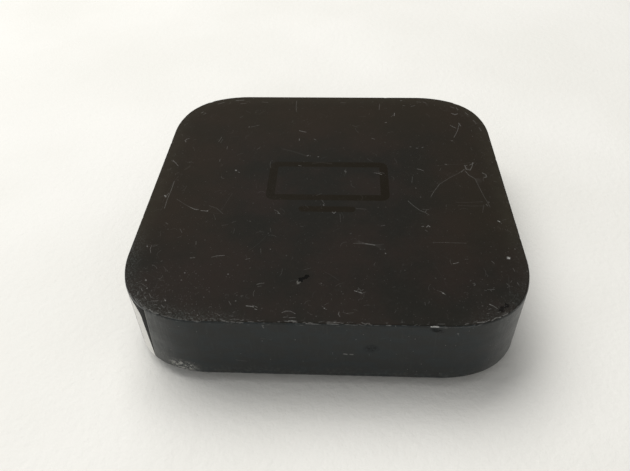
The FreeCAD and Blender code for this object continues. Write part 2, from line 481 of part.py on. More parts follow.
plate = poly([(sx0 + 1.6, 8.4), (sx1 - 1.6, 8.4), (sx1, 10.0), (sx1, HINGE_Z), (sx0, HINGE_Z), (sx0, 10.0)], "xz", HINGE_Y - 0.35, HINGE_Y + 0.35)
knuckle = cyl(sx0, HINGE_Y, HINGE_Z, 0.62, sx1 - sx0, V(1, 0, 0))
sh = fuse(plate, knuckle, cyl(sx0 - 0.64, HINGE_Y, HINGE_Z, 0.4, sx1 - sx0 + 1.28, V(1, 0, 0)))
gap = box(OPT_X - 0.95, OPT_X + 0.95, 45.5, 48.5, HINGE_Z - 0.95, HINGE_Z + 1.2).cut(cyl(sx0, HINGE_Y, HINGE_Z, 0.4, sx1 - sx0, V(1, 0, 0)))
sh = sh.cut(gap)
sh = cut(sh, box(OPT_X - 2.6, OPT_X + 2.6, HINGE_Y + 0.25, 49, 9.6, 9.9), box(OPT_X - 2.6, OPT_X + 2.6, HINGE_Y + 0.25, 49, 10.4, 10.7))
save("optical_shutter", sh)
# torsion spring round the pivot: one leg lies in the housing's roof slot, the other presses on the plate's back
turns, coil_r, wire_r, pitch = 3.25, 0.6, 0.08, 0.36


def on_coil(t):
    """Point of the coil after t turns; at t = 0 it is on top of the pivot."""
    a = 2 * math.pi * t
    return V(OPT_X - 0.63 + pitch * t, HINGE_Y - coil_r * math.sin(a), HINGE_Z + coil_r * math.cos(a))


line = Part.BSplineCurve()
coil_points = [on_coil(turns * i / 78) for i in range(79)]
fixed_leg = [V(coil_points[0].x, HINGE_Y - 4.0 + 0.4 * i, HINGE_Z + coil_r + 0.42 * (1 - i / 9.0) ** 2) for i in range(9)]
last = coil_points[-1]
free_leg = [V(last.x, HINGE_Y - coil_r + 0.16 * i / 6, HINGE_Z - 0.4 * i) for i in range(1, 7)]
line.interpolate(fixed_leg + coil_points + free_leg)
ring = Part.Wire([Part.Circle(line.value(line.FirstParameter), line.tangent(line.FirstParameter)[0], wire_r).toShape()])
coil = Part.Wire([line.toShape()]).makePipeShell([ring], True, True)
save("shutter_spring", coil)

# ---------------------------------------------------------------- mains inlet
body = fillet(box(15.7, 33.3, 31.0, 45.9, PSU_TOP, 17.8), 0.6, lambda e: e.BoundBox.XLength < 1e-3 and e.BoundBox.ZLength < 1e-3)
nose = stadium(AC_X, AC_Z, AC_PITCH / 2, AC_NOSE, 45.8, PORT_FACE - 0.2)
ac = fuse(body, nose)
ac = cut(ac, eight(AC_X, AC_Z, AC_PITCH / 2, AC_LOBE, 3.1, AC_PIN_Y[0], 50.0), *[y_rod(AC_X + s * AC_PITCH / 2, AC_Z, 1.02, 30.0, 40.0) for s in (-1, 1)])
save("mains_inlet_housing", ac)
pins = []
for s in (-1, 1):
    x = AC_X + s * AC_PITCH / 2
    p = y_rod(x, AC_Z, AC_PIN_R, AC_PIN_Y[0], AC_PIN_Y[1])
    p = fillet(p, 0.7, lambda e: e.BoundBox.YMin > AC_PIN_Y[1] - 0.01)
    pins.append(fuse(p, y_rod(x, AC_Z, 1.0, 29.6, AC_PIN_Y[0] + 1), box(x - 0.6, x + 0.6, 29.6, 30.6, 4.9, AC_Z)))
save("mains_inlet_pins", *pins)

# ---------------------------------------------------------------- power supply
pb = prism(4.5, PSU_Z, PSU_TOP).common(box(16.0, 46.0, -29.8, 45.0, 0, 30))
pb = cut(pb, *[cyl(x, y, 0, 1.15, 12) for x, y in PSU_SCREWS], *[box(AC_X + s * 4.3 - 0.8, AC_X + s * 4.3 + 0.8, 29.4, 30.8, 0, 12) for s in (-1, 1)])
save("power_board", pb)
tray = prism(3.8, 4.3, 7.2).common(box(15.3, 46.0, -30.6, 46.0, 0, 30))
tray = tray.cut(prism(4.2, 4.7, 8.0).common(box(15.7, 46.0, -30.2, 46.0, 0, 30)))
tray = fuse(tray, *[cyl(x, y, 4.5, 2.4, PSU_Z - 4.5) for x, y in PSU_SCREWS], *[box(x - 1, x + 1, y - 1, y + 1, 4.5, PSU_Z) for x, y in ((18.5, 40.0), (18.5, -28.0), (42.5, 2.0))])
tray = cut(tray, *[cyl(x, y, 0, 1.15, 12) for x, y in PSU_SCREWS])
save("insulator_tray", tray)
save("power_screws", *[screw(x, y, 4.3, 2.0, 0.8, 0.96, 11.4) for x, y in PSU_SCREWS])


def can(x, y, r, h, name_groove=True):
    c = fillet(cyl(x, y, PSU_TOP, r, h), 0.35, lambda e: flat_at(PSU_TOP + h)(e) or flat_at(PSU_TOP)(e))
    ring = cyl(x, y, PSU_TOP + 1.1, r + 1, 0.5).cut(cyl(x, y, PSU_TOP + 1, r - 0.18, 1))
    vent = [box(x - r * 0.5, x + r * 0.5, y - 0.12, y + 0.12, PSU_TOP + h - 0.12, PSU_TOP + h + 1), box(x - 0.12, x + 0.12, y - r * 0.5, y + r * 0.5, PSU_TOP + h - 0.12, PSU_TOP + h + 1)]
    return cut(c, ring, *vent)


save("supply_capacitors", can(39.6, 3.0, 5.0, 12.5), can(39.6, -7.8, 5.0, 12.5), can(26.0, -22.5, 3.15, 9.0), can(33.2, -20.6, 3.15, 9.0))
save("line_fuse", fillet(cyl(39.0, 22.0, PSU_TOP, 4.2, 8.0), 0.6, flat_at(PSU_TOP + 8.0)))
choke_core = fuse(box(18.5, 31.0, 15.5, 18.0, PSU_TOP, PSU_TOP + 11), box(18.5, 31.0, 24.6, 27.1, PSU_TOP, PSU_TOP + 11),
                  box(18.5, 20.6, 17.9, 24.7, PSU_TOP, PSU_TOP + 11), box(28.9, 31.0, 17.9, 24.7, PSU_TOP, PSU_TOP + 11))
save("line_choke_core", choke_core)
save("line_choke_winding", fillet(box(20.9, 28.6, 18.3, 24.3, PSU_TOP, PSU_TOP + 10.6), 1.0, lambda e: upright(e)))
save("line_capacitor", fillet(box(18.0, 31.0, 6.6, 12.6, PSU_TOP, PSU_TOP + 11.4), 0.4, lambda e: flat_at(PSU_TOP + 11.4)(e) or upright(e)))
save("bridge_rectifier", fillet(box(36.0, 44.0, 10.2, 16.4, PSU_TOP, PSU_TOP + 3.4), 0.3, flat_at(PSU_TOP + 3.4), chamfer=True))
save("supply_controller", fillet(box(38.6, 44.0, -22.6, -14.4, PSU_TOP, PSU_TOP + 3.7), 0.3, flat_at(PSU_TOP + 3.7), chamfer=True))
core = box(17.6, 33.6, -13.6, 3.4, PSU_TOP + 1.6, PSU_TOP + 12.6).cut(box(17.0, 34.0, -10.6, 0.4, PSU_TOP + 4.0, PSU_TOP + 10.2))
save("transformer_core", core)
wrap = fillet(box(17.0, 34.2, -10.5, 0.3, PSU_TOP + 4.0, PSU_TOP + 10.1), 0.8, lambda e: e.BoundBox.YLength > 5 and e.BoundBox.XLength < 1e-3 and e.BoundBox.ZLength < 1e-3)
save("transformer_winding", wrap)
save("transformer_base", box(17.0, 19.8, -14.6, 4.4, PSU_TOP, PSU_TOP + 1.6), box(31.4, 34.2, -14.6, 4.4, PSU_TOP, PSU_TOP + 1.6))

# ---------------------------------------------------------------- low-voltage lead between the boards
hdr = rounded(8.4, 13.6, -28.8, -19.2, BOARD_TOP, 15.4, 0.4).cut(box(9.1, 12.9, -28.1, -19.9, 13.4, 16))
save("supply_header", hdr)
pl = fuse(box(9.2, 12.8, -28.0, -20.0, 13.5, 16.4), box(8.6, 13.4, -28.4, -19.6, 15.45, 17.8))
pl = fillet(pl, 0.3, flat_at(17.8))
save("supply_plug", pl)
WY = (-26.9, -24.97, -23.03, -21.1)
save("supply_wires", *[tube([(18.6, y, PSU_TOP), (18.6, y, 16.8), (13.4, y, 16.8)], 0.6) for y in WY])

print(len(made), "nodes")
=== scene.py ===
import json
import math
import random

import bmesh
import bpy
import mathutils
import numpy as np
from mathutils import Matrix, Vector


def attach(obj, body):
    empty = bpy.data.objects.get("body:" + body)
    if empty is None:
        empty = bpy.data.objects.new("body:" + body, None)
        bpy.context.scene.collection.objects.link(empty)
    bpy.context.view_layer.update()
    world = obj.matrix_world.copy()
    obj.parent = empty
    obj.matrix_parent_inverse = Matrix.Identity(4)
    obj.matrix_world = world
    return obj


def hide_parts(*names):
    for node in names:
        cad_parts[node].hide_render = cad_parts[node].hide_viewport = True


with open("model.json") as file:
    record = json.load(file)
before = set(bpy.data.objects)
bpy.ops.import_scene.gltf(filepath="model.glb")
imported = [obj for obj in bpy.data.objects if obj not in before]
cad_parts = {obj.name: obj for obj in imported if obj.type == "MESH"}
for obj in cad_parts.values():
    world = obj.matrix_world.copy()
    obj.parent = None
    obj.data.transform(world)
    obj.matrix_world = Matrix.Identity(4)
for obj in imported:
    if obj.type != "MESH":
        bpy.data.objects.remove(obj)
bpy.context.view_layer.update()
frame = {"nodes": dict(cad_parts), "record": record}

MM = 0.001
NODES = frame["nodes"]


# =============================================================== node helpers
class V:
    """A value or socket in a node tree, with arithmetic that adds Math nodes."""

    def __init__(self, g, s):
        self.g, self.s = g, s

    def _op(self, op, *others, clamp=False):
        n = self.g.new("ShaderNodeMath")
        n.operation = op
        n.use_clamp = clamp
        for i, o in enumerate((self,) + others):
            self.g.plug(n.inputs[i], o)
        return V(self.g, n.outputs[0])

    def __add__(self, o): return self._op("ADD", o)
    def __radd__(self, o): return self._op("ADD", o)
    def __sub__(self, o): return self._op("SUBTRACT", o)
    def __rsub__(self, o): return V(self.g, o)._op("SUBTRACT", self)
    def __mul__(self, o): return self._op("MULTIPLY", o)
    def __rmul__(self, o): return self._op("MULTIPLY", o)
    def __truediv__(self, o): return self._op("DIVIDE", o)
    def abs(self): return self._op("ABSOLUTE")
    def max(self, o): return self._op("MAXIMUM", o)
    def min(self, o): return self._op("MINIMUM", o)
    def pow(self, o): return self._op("POWER", o)
    def sin(self): return self._op("SINE")
    def sat(self): return self._op("ADD", 0.0, clamp=True)
    def inv(self): return V(self.g, 1.0)._op("SUBTRACT", self)

    def smooth(self, a, b, lo=0.0, hi=1.0):
        n = self.g.new("ShaderNodeMapRange")
        n.interpolation_type = "SMOOTHSTEP"
        n.inputs["From Min"].default_value, n.inputs["From Max"].default_value = (a, b) if a < b else (b, a)
        n.inputs["To Min"].default_value, n.inputs["To Max"].default_value = (lo, hi) if a < b else (hi, lo)
        self.g.plug(n.inputs["Value"], self)
        return V(self.g, n.outputs["Result"])


class G:
    """A material's node tree, with positions in millimetres."""

    def __init__(self, name):
        self.m = bpy.data.materials.new(name)
        self.m.use_nodes = True
        self.nt = self.m.node_tree
        self.nt.nodes.clear()
        self.out = self.new("ShaderNodeOutputMaterial")
        self.b = self.new("ShaderNodeBsdfPrincipled")
        self.nt.links.new(self.b.outputs[0], self.out.inputs[0])
        tc = self.new("ShaderNodeTexCoord")
        sc = self.new("ShaderNodeVectorMath")
        sc.operation = "SCALE"
        sc.inputs["Scale"].default_value = 1000.0
        self.nt.links.new(tc.outputs["Object"], sc.inputs[0])
        self.p = sc.outputs[0]
        sx = self.new("ShaderNodeSeparateXYZ")
        self.nt.links.new(self.p, sx.inputs[0])
        self.x, self.y, self.z = (V(self, sx.outputs[i]) for i in range(3))

    def new(self, kind):
        return self.nt.nodes.new(kind)

    def plug(self, sock, v):
        if isinstance(v, V):
            v = v.s
        if isinstance(v, (int, float)):
            sock.default_value = float(v)
        elif isinstance(v, (tuple, list)):
            sock.default_value = tuple(v) if len(v) == 4 or sock.type == "VECTOR" else tuple(v) + (1.0,)
        else:
            self.nt.links.new(v, sock)

    def val(self, v):
        return V(self, v)

    def vec(self, x, y, z):
        n = self.new("ShaderNodeCombineXYZ")
        for i, v in enumerate((x, y, z)):
            self.plug(n.inputs[i], v)
        return n.outputs[0]

    def mapped(self, scale=(1, 1, 1), rot=(0, 0, 0), loc=(0, 0, 0), vec=None):
        n = self.new("ShaderNodeMapping")
        n.inputs["Scale"].default_value = scale
        n.inputs["Rotation"].default_value = rot
        n.inputs["Location"].default_value = loc
        self.nt.links.new(vec or self.p, n.inputs["Vector"])
        return n.outputs[0]

    def noise(self, scale, detail=2.0, rough=0.5, vec=None, dist=0.0):
        """Noise about 0.5, with features about 1 / scale millimetres across."""
        n = self.new("ShaderNodeTexNoise")
        n.inputs["Scale"].default_value = scale
        n.inputs["Detail"].default_value = detail
        n.inputs["Roughness"].default_value = rough
        n.inputs["Distortion"].default_value = dist
        self.nt.links.new(vec or self.p, n.inputs["Vector"])
        return V(self, n.outputs["Fac"])

    def cells(self, scale, vec=None, feature="F1", rnd=1.0):
        """(distance, one random number per cell)."""
        n = self.new("ShaderNodeTexVoronoi")
        n.feature = feature
        n.inputs["Scale"].default_value = scale
        n.inputs["Randomness"].default_value = rnd
        self.nt.links.new(vec or self.p, n.inputs["Vector"])
        if feature == "DISTANCE_TO_EDGE":
            return V(self, n.outputs["Distance"]), None
        sep = self.new("ShaderNodeSeparateColor")
        self.nt.links.new(n.outputs["Color"], sep.inputs[0])
        return V(self, n.outputs["Distance"]), V(self, sep.outputs[0])

    def mix(self, f, a, b):
        n = self.new("ShaderNodeMix")
        n.data_type = "RGBA"
        self.plug(n.inputs[0], f)
        self.plug(n.inputs[6], a)
        self.plug(n.inputs[7], b)
        return n.outputs[2]

    def bump(self, height, dist, strength=1.0, normal=None):
        """height in units of dist, dist in metres."""
        n = self.new("ShaderNodeBump")
        n.inputs["Strength"].default_value = strength
        n.inputs["Distance"].default_value = dist
        self.plug(n.inputs["Height"], height)
        if normal is not None:
            self.nt.links.new(normal, n.inputs["Normal"])
        return n.outputs[0]

    def set(self, **kw):
        names = {"color": "Base Color", "rough": "Roughness", "metal": "Metallic", "normal": "Normal", "ior": "IOR", "spec": "Specular IOR Level",
                 "coat": "Coat Weight", "coat_rough": "Coat Roughness", "trans": "Transmission Weight", "alpha": "Alpha", "sheen": "Sheen Weight",
                 "sheen_rough": "Sheen Roughness", "aniso": "Anisotropic", "sss": "Subsurface Weight"}
        for k, v in kw.items():
            self.plug(self.b.inputs[names[k]], v)
        return self.m


def tone(c, k):
    return tuple(min(1.0, a * k) for a in c[:3]) + (1.0,)


def rgb(r, g, b):
    """Linear colour from 0-255 display values."""
    def f(v):
        v /= 255.0
        return v / 12.92 if v <= 0.04045 else ((v + 0.055) / 1.055) ** 2.4
    return (f(r), f(g), f(b), 1.0)


# =============================================================== materials
def plastic(name, c, rough=0.5, grain=6.0, depth=0.012, var=0.12, spec=0.5, smudge=0.1, coat=0.0, dust=0.0):
    """Moulded plastic: fine spark-eroded grain, a little tone and gloss variation, sparse dust."""
    g = G(name)
    blot = g.noise(0.18, 3, 0.55)
    fine = g.noise(grain, 2, 0.6)
    col = g.mix(blot.smooth(0.3, 0.7), tone(c, 1 - var), tone(c, 1 + var))
    if dust:
        d, r = g.cells(1.6)
        speck = d.smooth(0.16, 0.05) * r.smooth(0.72, 0.76)
        col = g.mix(speck * dust, col, (0.35, 0.34, 0.32, 1))
    r = g.noise(0.6, 4, 0.6).smooth(0.25, 0.75, rough - smudge, rough + smudge)
    return g.set(color=col, rough=r, normal=g.bump(fine, depth * MM), spec=spec, coat=coat, coat_rough=0.15)


def metal(name, c, rough=0.3, brushed=None, depth=0.006, var=0.1, tarnish=0.15):
    """Metal: rolling or brushing lines along one axis, uneven gloss, faint tarnish."""
    g = G(name)
    sc = {"x": (0.25, 9, 9), "y": (9, 0.25, 9), "z": (9, 9, 0.25), None: (3, 3, 3)}[brushed]
    lines = g.noise(1.0, 3, 0.6, g.mapped(sc))
    blot = g.noise(0.35, 4, 0.6)
    col = g.mix(blot.smooth(0.35, 0.75) * tarnish + lines * var, tone(c, 1.0), tone(c, 0.55))
    r = (lines.smooth(0.25, 0.75, rough - 0.08, rough + 0.1) + blot * 0.12).sat()
    return g.set(color=col, rough=r, metal=1.0, normal=g.bump(lines, depth * MM))


def board(name, c, track, rough=0.35):
    """Circuit board: mask over routed tracks and pads, plated via rings, slightly glossy."""
    g = G(name)
    # tracks: bands of a distorted checker of runs along X and Y, kept apart by cells
    region = g.cells(0.11)[1]
    ya = g.noise(0.05, 0).smooth(0, 1) * 3.0
    rx = ((g.y + ya) * (2 * math.pi / 1.3)).sin().smooth(0.72, 0.82)
    ry = ((g.x + ya) * (2 * math.pi / 1.3)).sin().smooth(0.72, 0.82)
    dense = g.noise(0.09, 2).smooth(0.42, 0.50)
    tr = (rx * region.smooth(0.48, 0.52) + ry * region.smooth(0.52, 0.48)) * dense
    dv, rv = g.cells(0.35)
    via = dv.smooth(0.34 * 0.35 * 1.9, 0.30 * 0.35 * 1.9) * rv.smooth(0.55, 0.58)
    hole = dv.smooth(0.05, 0.035) * rv.smooth(0.55, 0.58)
    col = g.mix(tr, tone(c, 0.85), track)
    col = g.mix(via * 0.75, col, (0.55, 0.45, 0.20, 1))
    col = g.mix(hole, col, (0.01, 0.01, 0.01, 1))
    weave = g.noise(2.2, 1, 0.5)
    h = tr * 0.6 + weave * 0.2
    return g.set(color=col, rough=g.noise(0.8, 3).smooth(0.3, 0.7, rough - 0.08, rough + 0.1), normal=g.bump(h, 0.03 * MM), spec=0.5)


def gold(name):
    g = G(name)
    n = g.noise(3.0, 3)
    col = g.mix(n.smooth(0.35, 0.8), (0.86, 0.62, 0.24, 1), (0.62, 0.42, 0.16, 1))
    return g.set(color=col, rough=n.smooth(0.3, 0.7, 0.18, 0.34), metal=1.0, normal=g.bump(n, 0.003 * MM))


def clear(name, c, rough=0.08):
    g = G(name)
    n = g.noise(1.2, 3)
    return g.set(color=g.mix(n.smooth(0.3, 0.7), tone(c, 0.94), tone(c, 1.0)), rough=n.smooth(0.3, 0.7, rough, rough + 0.08), trans=0.85, ior=1.49,
                 normal=g.bump(g.noise(4, 2), 0.002 * MM))


def rubber(name, c, rough=0.72):
    """Foot pad: fine pebbled skin, picked-up dust and a few rubbed, shinier places."""
    g = G(name)
    d, _ = g.cells(3.2)
    fine = g.noise(9, 2, 0.6)
    rub = g.noise(0.07, 3, 0.6).smooth(0.52, 0.68)
    dd, rr = g.cells(1.1)
    lint = dd.smooth(0.20, 0.06) * rr.smooth(0.80, 0.83)
    film = g.noise(0.12, 5, 0.65).smooth(0.45, 0.75) * 0.35
    col = g.mix(film, tone(c, 0.9), tone(c, 2.1))
    col = g.mix(lint * 0.5, col, (0.32, 0.31, 0.29, 1))
    return g.set(color=col, rough=rub * -0.18 + rough, normal=g.bump(d * 0.5 + fine * 0.5, 0.03 * MM), spec=0.35)


def winding(name, c, pitch=0.34, axis="x"):
    """Enamelled wire or tape in side-by-side turns."""
    g = G(name)
    a = {"x": g.x, "y": g.y, "z": g.z}[axis]
    turn = (a * (2 * math.pi / pitch)).sin()
    col = g.mix(turn.smooth(-1, 0.2), tone(c, 0.35), tone(c, 1.1))
    return g.set(color=col, rough=g.noise(0.7, 2).smooth(0.3, 0.7, 0.28, 0.42), normal=g.bump(turn, 0.06 * MM), spec=0.6)


def ferrite(name, c):
    g = G(name)
    n = g.noise(1.8, 5, 0.7)
    pit, _ = g.cells(4.0)
    return g.set(color=g.mix(n.smooth(0.3, 0.75), tone(c, 0.8), tone(c, 1.5)), rough=n.smooth(0.3, 0.7, 0.42, 0.6), normal=g.bump(n * 0.6 + pit.smooth(0.0, 0.3) * 0.4, 0.02 * MM))


def wire(name, c):
    g = G(name)
    n = g.noise(1.4, 3)
    return g.set(color=g.mix(n.smooth(0.3, 0.7), tone(c, 0.85), tone(c, 1.15)), rough=n.smooth(0.3, 0.7, 0.38, 0.5), normal=g.bump(g.noise(5, 2), 0.006 * MM))


# =============================================================== the case's own material
def case_material(part):
    """Two finishes on one moulding: a dead-matte, faintly mottled top, and a hazed, scuffed, semi-gloss side wall."""
    g = G("case_" + part)
    x, y, z = g.x, g.y, g.z

    def wobble(amount, scale=0.5):
        """Position with a small irregular shift, so that marks aren't ruler-straight."""
        n = g.new("ShaderNodeTexNoise")
        n.inputs["Scale"].default_value = scale
        n.inputs["Detail"].default_value = 2
        g.nt.links.new(g.p, n.inputs["Vector"])
        s = g.new("ShaderNodeVectorMath")
        s.operation = "SUBTRACT"
        g.nt.links.new(n.outputs["Color"], s.inputs[0])
        s.inputs[1].default_value = (0.5, 0.5, 0.5)
        k = g.new("ShaderNodeVectorMath")
        k.operation = "SCALE"
        k.inputs["Scale"].default_value = amount
        g.nt.links.new(s.outputs[0], k.inputs[0])
        a = g.new("ShaderNodeVectorMath")
        a.operation = "ADD"
        g.nt.links.new(g.p, a.inputs[0])
        g.nt.links.new(k.outputs[0], a.inputs[1])
        return a.outputs[0]

    loose = wobble(0.7, 0.45)

    grp = bpy.data.node_groups.new("stroke", "ShaderNodeTree")
    for nm, kind in (("P", "NodeSocketVector"), ("A", "NodeSocketVector"), ("D", "NodeSocketVector"), ("Length", "NodeSocketFloat"), ("Width", "NodeSocketFloat")):
        grp.interface.new_socket(nm, in_out="INPUT", socket_type=kind)
    grp.interface.new_socket("Value", in_out="OUTPUT", socket_type="NodeSocketFloat")
    gi, go = grp.nodes.new("NodeGroupInput"), grp.nodes.new("NodeGroupOutput")

    def vm(op, a, b=None):
        n = grp.nodes.new("ShaderNodeVectorMath")
        n.operation = op
        grp.links.new(a, n.inputs[0])
        if b is not None:
            grp.links.new(b, n.inputs["Scale"] if op == "SCALE" else n.inputs[1])
        return n

    def sm(op, a, b=None, clamp=False):
        n = grp.nodes.new("ShaderNodeMath")
        n.operation = op
        n.use_clamp = clamp
        for i, v in enumerate((a, b)):
            if v is None:
                continue
            if isinstance(v, float):
                n.inputs[i].default_value = v
            else:
                grp.links.new(v, n.inputs[i])
        return n.outputs[0]

    rel = vm("SUBTRACT", gi.outputs["P"], gi.outputs["A"]).outputs[0]
    along = vm("DOT_PRODUCT", rel, gi.outputs["D"]).outputs["Value"]
    t = sm("MINIMUM", sm("MAXIMUM", along, 0.0), gi.outputs["Length"])
    foot = vm("SCALE", gi.outputs["D"], t).outputs[0]
    dist = vm("LENGTH", vm("SUBTRACT", rel, foot).outputs[0]).outputs["Value"]
    taper = sm("SUBTRACT", 1.0, sm("DIVIDE", dist, gi.outputs["Width"]), clamp=True)
    grp.links.new(taper, go.inputs[0])

    def stroke(a, b, width, strength, p=loose):
        """A scratch from a to b, soft-edged; a and b are (x, y) on the top or (x, y, z)."""
        a = Vector(a if len(a) == 3 else (*a, 23.0))
        b = Vector(b if len(b) == 3 else (*b, 23.0))
        n = g.new("ShaderNodeGroup")
        n.node_tree = grp
        g.nt.links.new(p, n.inputs["P"])
        d = b - a
        n.inputs["A"].default_value = a
        n.inputs["D"].default_value = d.normalized() if d.length > 1e-6 else (1, 0, 0)
        n.inputs["Length"].default_value = d.length
        n.inputs["Width"].default_value = width
        return V(g, n.outputs[0]).smooth(0.0, 0.85) * strength

    # ---- worn places, and a painted highlight on the front-left corner's edge: the attribute says how pale, the noise breaks them up
    wear_and_highlight_at = g.new("ShaderNodeAttribute")
    wear_and_highlight_at.attribute_type = "GEOMETRY"
    wear_and_highlight_at.attribute_name = "wear_and_highlight"
    wear_and_highlight = V(g, wear_and_highlight_at.outputs["Fac"])
    crumbs = g.noise(3.2, 5, 0.75, g.mapped((1.0, 1.0, 2.4)))
    worn_and_highlight = (wear_and_highlight * (crumbs.smooth(0.36, 0.62, 0.35, 1.15))).sat()

    if part == "side":
        smear = g.noise(0.12, 5, 0.62, g.mapped((1, 1, 2.4)))
        fleck = g.noise(1.5, 4, 0.7, g.mapped((1, 1, 1.5)))
        vert = g.noise(0.8, 3, 0.6, g.mapped((2.2, 2.2, 0.22)))
        fine = g.noise(5.0, 3, 0.7)
        col = g.mix(smear.smooth(0.32, 0.68), tone(WALL_DARK, 0.9), tone(WALL_LIGHT, 0.9))
        col = g.mix(fleck.smooth(0.50, 0.80) * 0.34 + vert.smooth(0.5, 0.8) * 0.28 + fine.smooth(0.55, 0.8) * 0.20, col, WALL_HAZE)
        cool = g.noise(0.22, 4, 0.65, g.mapped((1, 1, 1.8)))
        col = g.mix(cool.smooth(0.44, 0.58) * 0.6, col, (0.0058, 0.0112, 0.0136, 1))
        # a dark smudge on the front wall, and a painted shadow under the chip at the top edge (the patch round x 25, z
        # 21.5)
        smudge_and_chip_shadow = (((x - 11.2) * (x - 11.2) * 0.6 + (z - 14.6) * (z - 14.6)).pow(0.5).smooth(1.9, 0.4) * 0.6).max(((x - 25.2 + (z - 21.6) * 0.9) * (x - 25.2 + (z - 21.6) * 0.9) * 0.5 + (z - 21.5) * (z - 21.5) * 2.2).pow(0.5).smooth(1.3, 0.5) * 0.8)
        smudge_and_chip_shadow = smudge_and_chip_shadow * y.smooth(-47.0, -48.5) * g.noise(1.1, 4, 0.7).smooth(0.34, 0.56)
        col = g.mix(smudge_and_chip_shadow, col, (0.0015, 0.0017, 0.0016, 1))
        wl = None
        for a, b, w, k in WALL_STROKES:
            v = stroke(a, b, w, k, g.p if b[0] > 31.5 and a[1] < -48.5 else loose)
            wl = v if wl is None else wl.max(v)
        wl = wl * g.noise(2.2, 3, 0.7).smooth(0.28, 0.52, 0.4, 1.0)
        # short rubs, mostly lengthwise, all round
        rub = g.noise(1.0, 2, 0.5, g.mapped((0.45, 0.45, 5.5))).smooth(0.66, 0.74) * g.noise(0.16, 3, 0.6).smooth(0.50, 0.64)
        d1, r1 = g.cells(1.3, loose)
        grit = d1.smooth(0.17, 0.07) * r1.smooth(0.93, 0.945)
        # near-black strip at the front-left corner: painted shade, standing for a narrow shaded gap where the haze
        # lifts from the wall; a pale line on its right, a painted highlight on the gap's edge; and a pale patch on its
        # left, a painted reflection of the floor in the glossy corner
        left = y.smooth(-20.0, -25.0)
        ragged = (g.noise(0.25, 2, 0.5, g.mapped((0.1, 0.1, 1))) - 0.5) * 0.22
        e0 = x + 42.02 - z * 0.0625 + ragged
        flare = (z - 18.4).max(0.0)
        e1 = x + 41.82 + z * 0.038 + flare * flare * 0.16 + ragged * 1.4
        # painted shade: the near-black gap strip
        shaded_gap = e0.smooth(0.04, -0.04) * e1.smooth(-0.06, 0.06) * left * z.smooth(22.6, 22.3) * z.smooth(4.2, 5.4)
        # painted highlight: pale line along the strip's right edge
        lip_highlight = e0.abs().smooth(0.22, 0.05) * e0.smooth(-0.05, 0.02) * left * z.smooth(22.6, 22.3)
        fade = (g.noise(1.1, 5, 0.8, g.mapped((1.0, 1.0, 0.6))) - 0.5) * 3.4
        # painted reflection of the pale floor on the corner, left of the strip
        floor_reflection_patch = e1.smooth(0.04, -0.04) * (x + 46.0 + fade).smooth(0.0, 0.9) * left * (z + fade * 0.5).smooth(22.3, 21.5)
        low = z.smooth(8.0, 3.6) * g.noise(1.3, 5, 0.7).smooth(0.44, 0.74)
        fl = ((x + 34.0) * (x + 34.0) * 0.5 + (z - 5.2) * (z - 5.2) * 1.6).pow(0.5).smooth(3.9, 1.0) * y.smooth(-30.0, -40.0) * g.noise(1.0, 5, 0.75).smooth(0.42, 0.62)
        dusty = (low * 0.13 + fl * 0.50 + fl.smooth(0.45, 0.8) * 0.35 + z.smooth(9.5, 4.5) * 0.006).sat()
        front = y.smooth(-16.0, -40.0)
        # pale front corners of the wall: partly haze, partly a painted reflection that brightens the wall towards the
        # corners
        corner_haze_and_reflection = x.smooth(-33.0, -41.0) * 0.60 * front + x.smooth(35.0, 46.0) * 0.68 * front
        hatch = g.noise(1.0, 3, 0.6, g.mapped((3.6, 3.6, 0.16))).smooth(0.42, 0.62)
        blotch = g.noise(0.8, 5, 0.7).smooth(0.38, 0.62)
        # painted reflection with haze: pale colour at the front corners
        col = g.mix(corner_haze_and_reflection * (hatch * 0.55 + blotch * 0.45 + 0.30), col, (0.084, 0.086, 0.083, 1))
        col = g.mix(dusty, col, DUST_AND_HIGHLIGHT)
        # painted reflection: the pale floor colour on the corner
        col = g.mix(floor_reflection_patch * g.noise(1.6, 3, 0.6).smooth(0.25, 0.5, 0.82, 1.0), col, (0.74, 0.73, 0.70, 1))
        # painted shade: near-black colour in the gap strip
        col = g.mix(shaded_gap, col, (0.0010, 0.0010, 0.0008, 1))
        # painted highlight along the strip's edge, together with real grit specks; this pale colour is also the dust
        # colour
        col = g.mix((lip_highlight * 0.60).max(grit * 0.5), col, DUST_AND_HIGHLIGHT)
        col = g.mix(wl.max(rub * 0.16).sat(), col, SCUFF)
        # pale colour of chips and worn places, and of the painted edge highlight
        col = g.mix(worn_and_highlight, col, CHIP_AND_HIGHLIGHT)
        rough = (smear.smooth(0.3, 0.7, 0.40, 0.50) + fleck.smooth(0.4, 0.8) * 0.08 + dusty * 0.25 + worn_and_highlight * 0.15 + shaded_gap * 0.7 + floor_reflection_patch * 0.2 + smudge_and_chip_shadow * 0.55).sat()
        h = fine * 0.10 + g.noise(0.9, 2, 0.5) * 0.05 - wl * 0.25 - worn_and_highlight * 0.35 + lip_highlight * 0.6 - shaded_gap * 0.6 + grit * 0.25
        return g.set(color=col, rough=rough, normal=g.bump(h, 0.10 * MM), spec=0.30, sheen=0.10, sheen_rough=0.35)

    rimx, rimy = x.abs(), y.abs()
    rim = rimx.max(rimy).smooth(37.0, 48.0)
    cfl = ((x + 39.0) * (x + 39.0) + (y + 41.0) * (y + 41.0)).pow(0.5).smooth(15.0, 3.0)
    cfr = ((x - 38.0) * (x - 38.0) + (y + 43.0) * (y + 43.0)).pow(0.5).smooth(11.0, 3.0)
    busy = (rim * 0.5 + cfl * 0.6 + cfr * 0.5).sat()
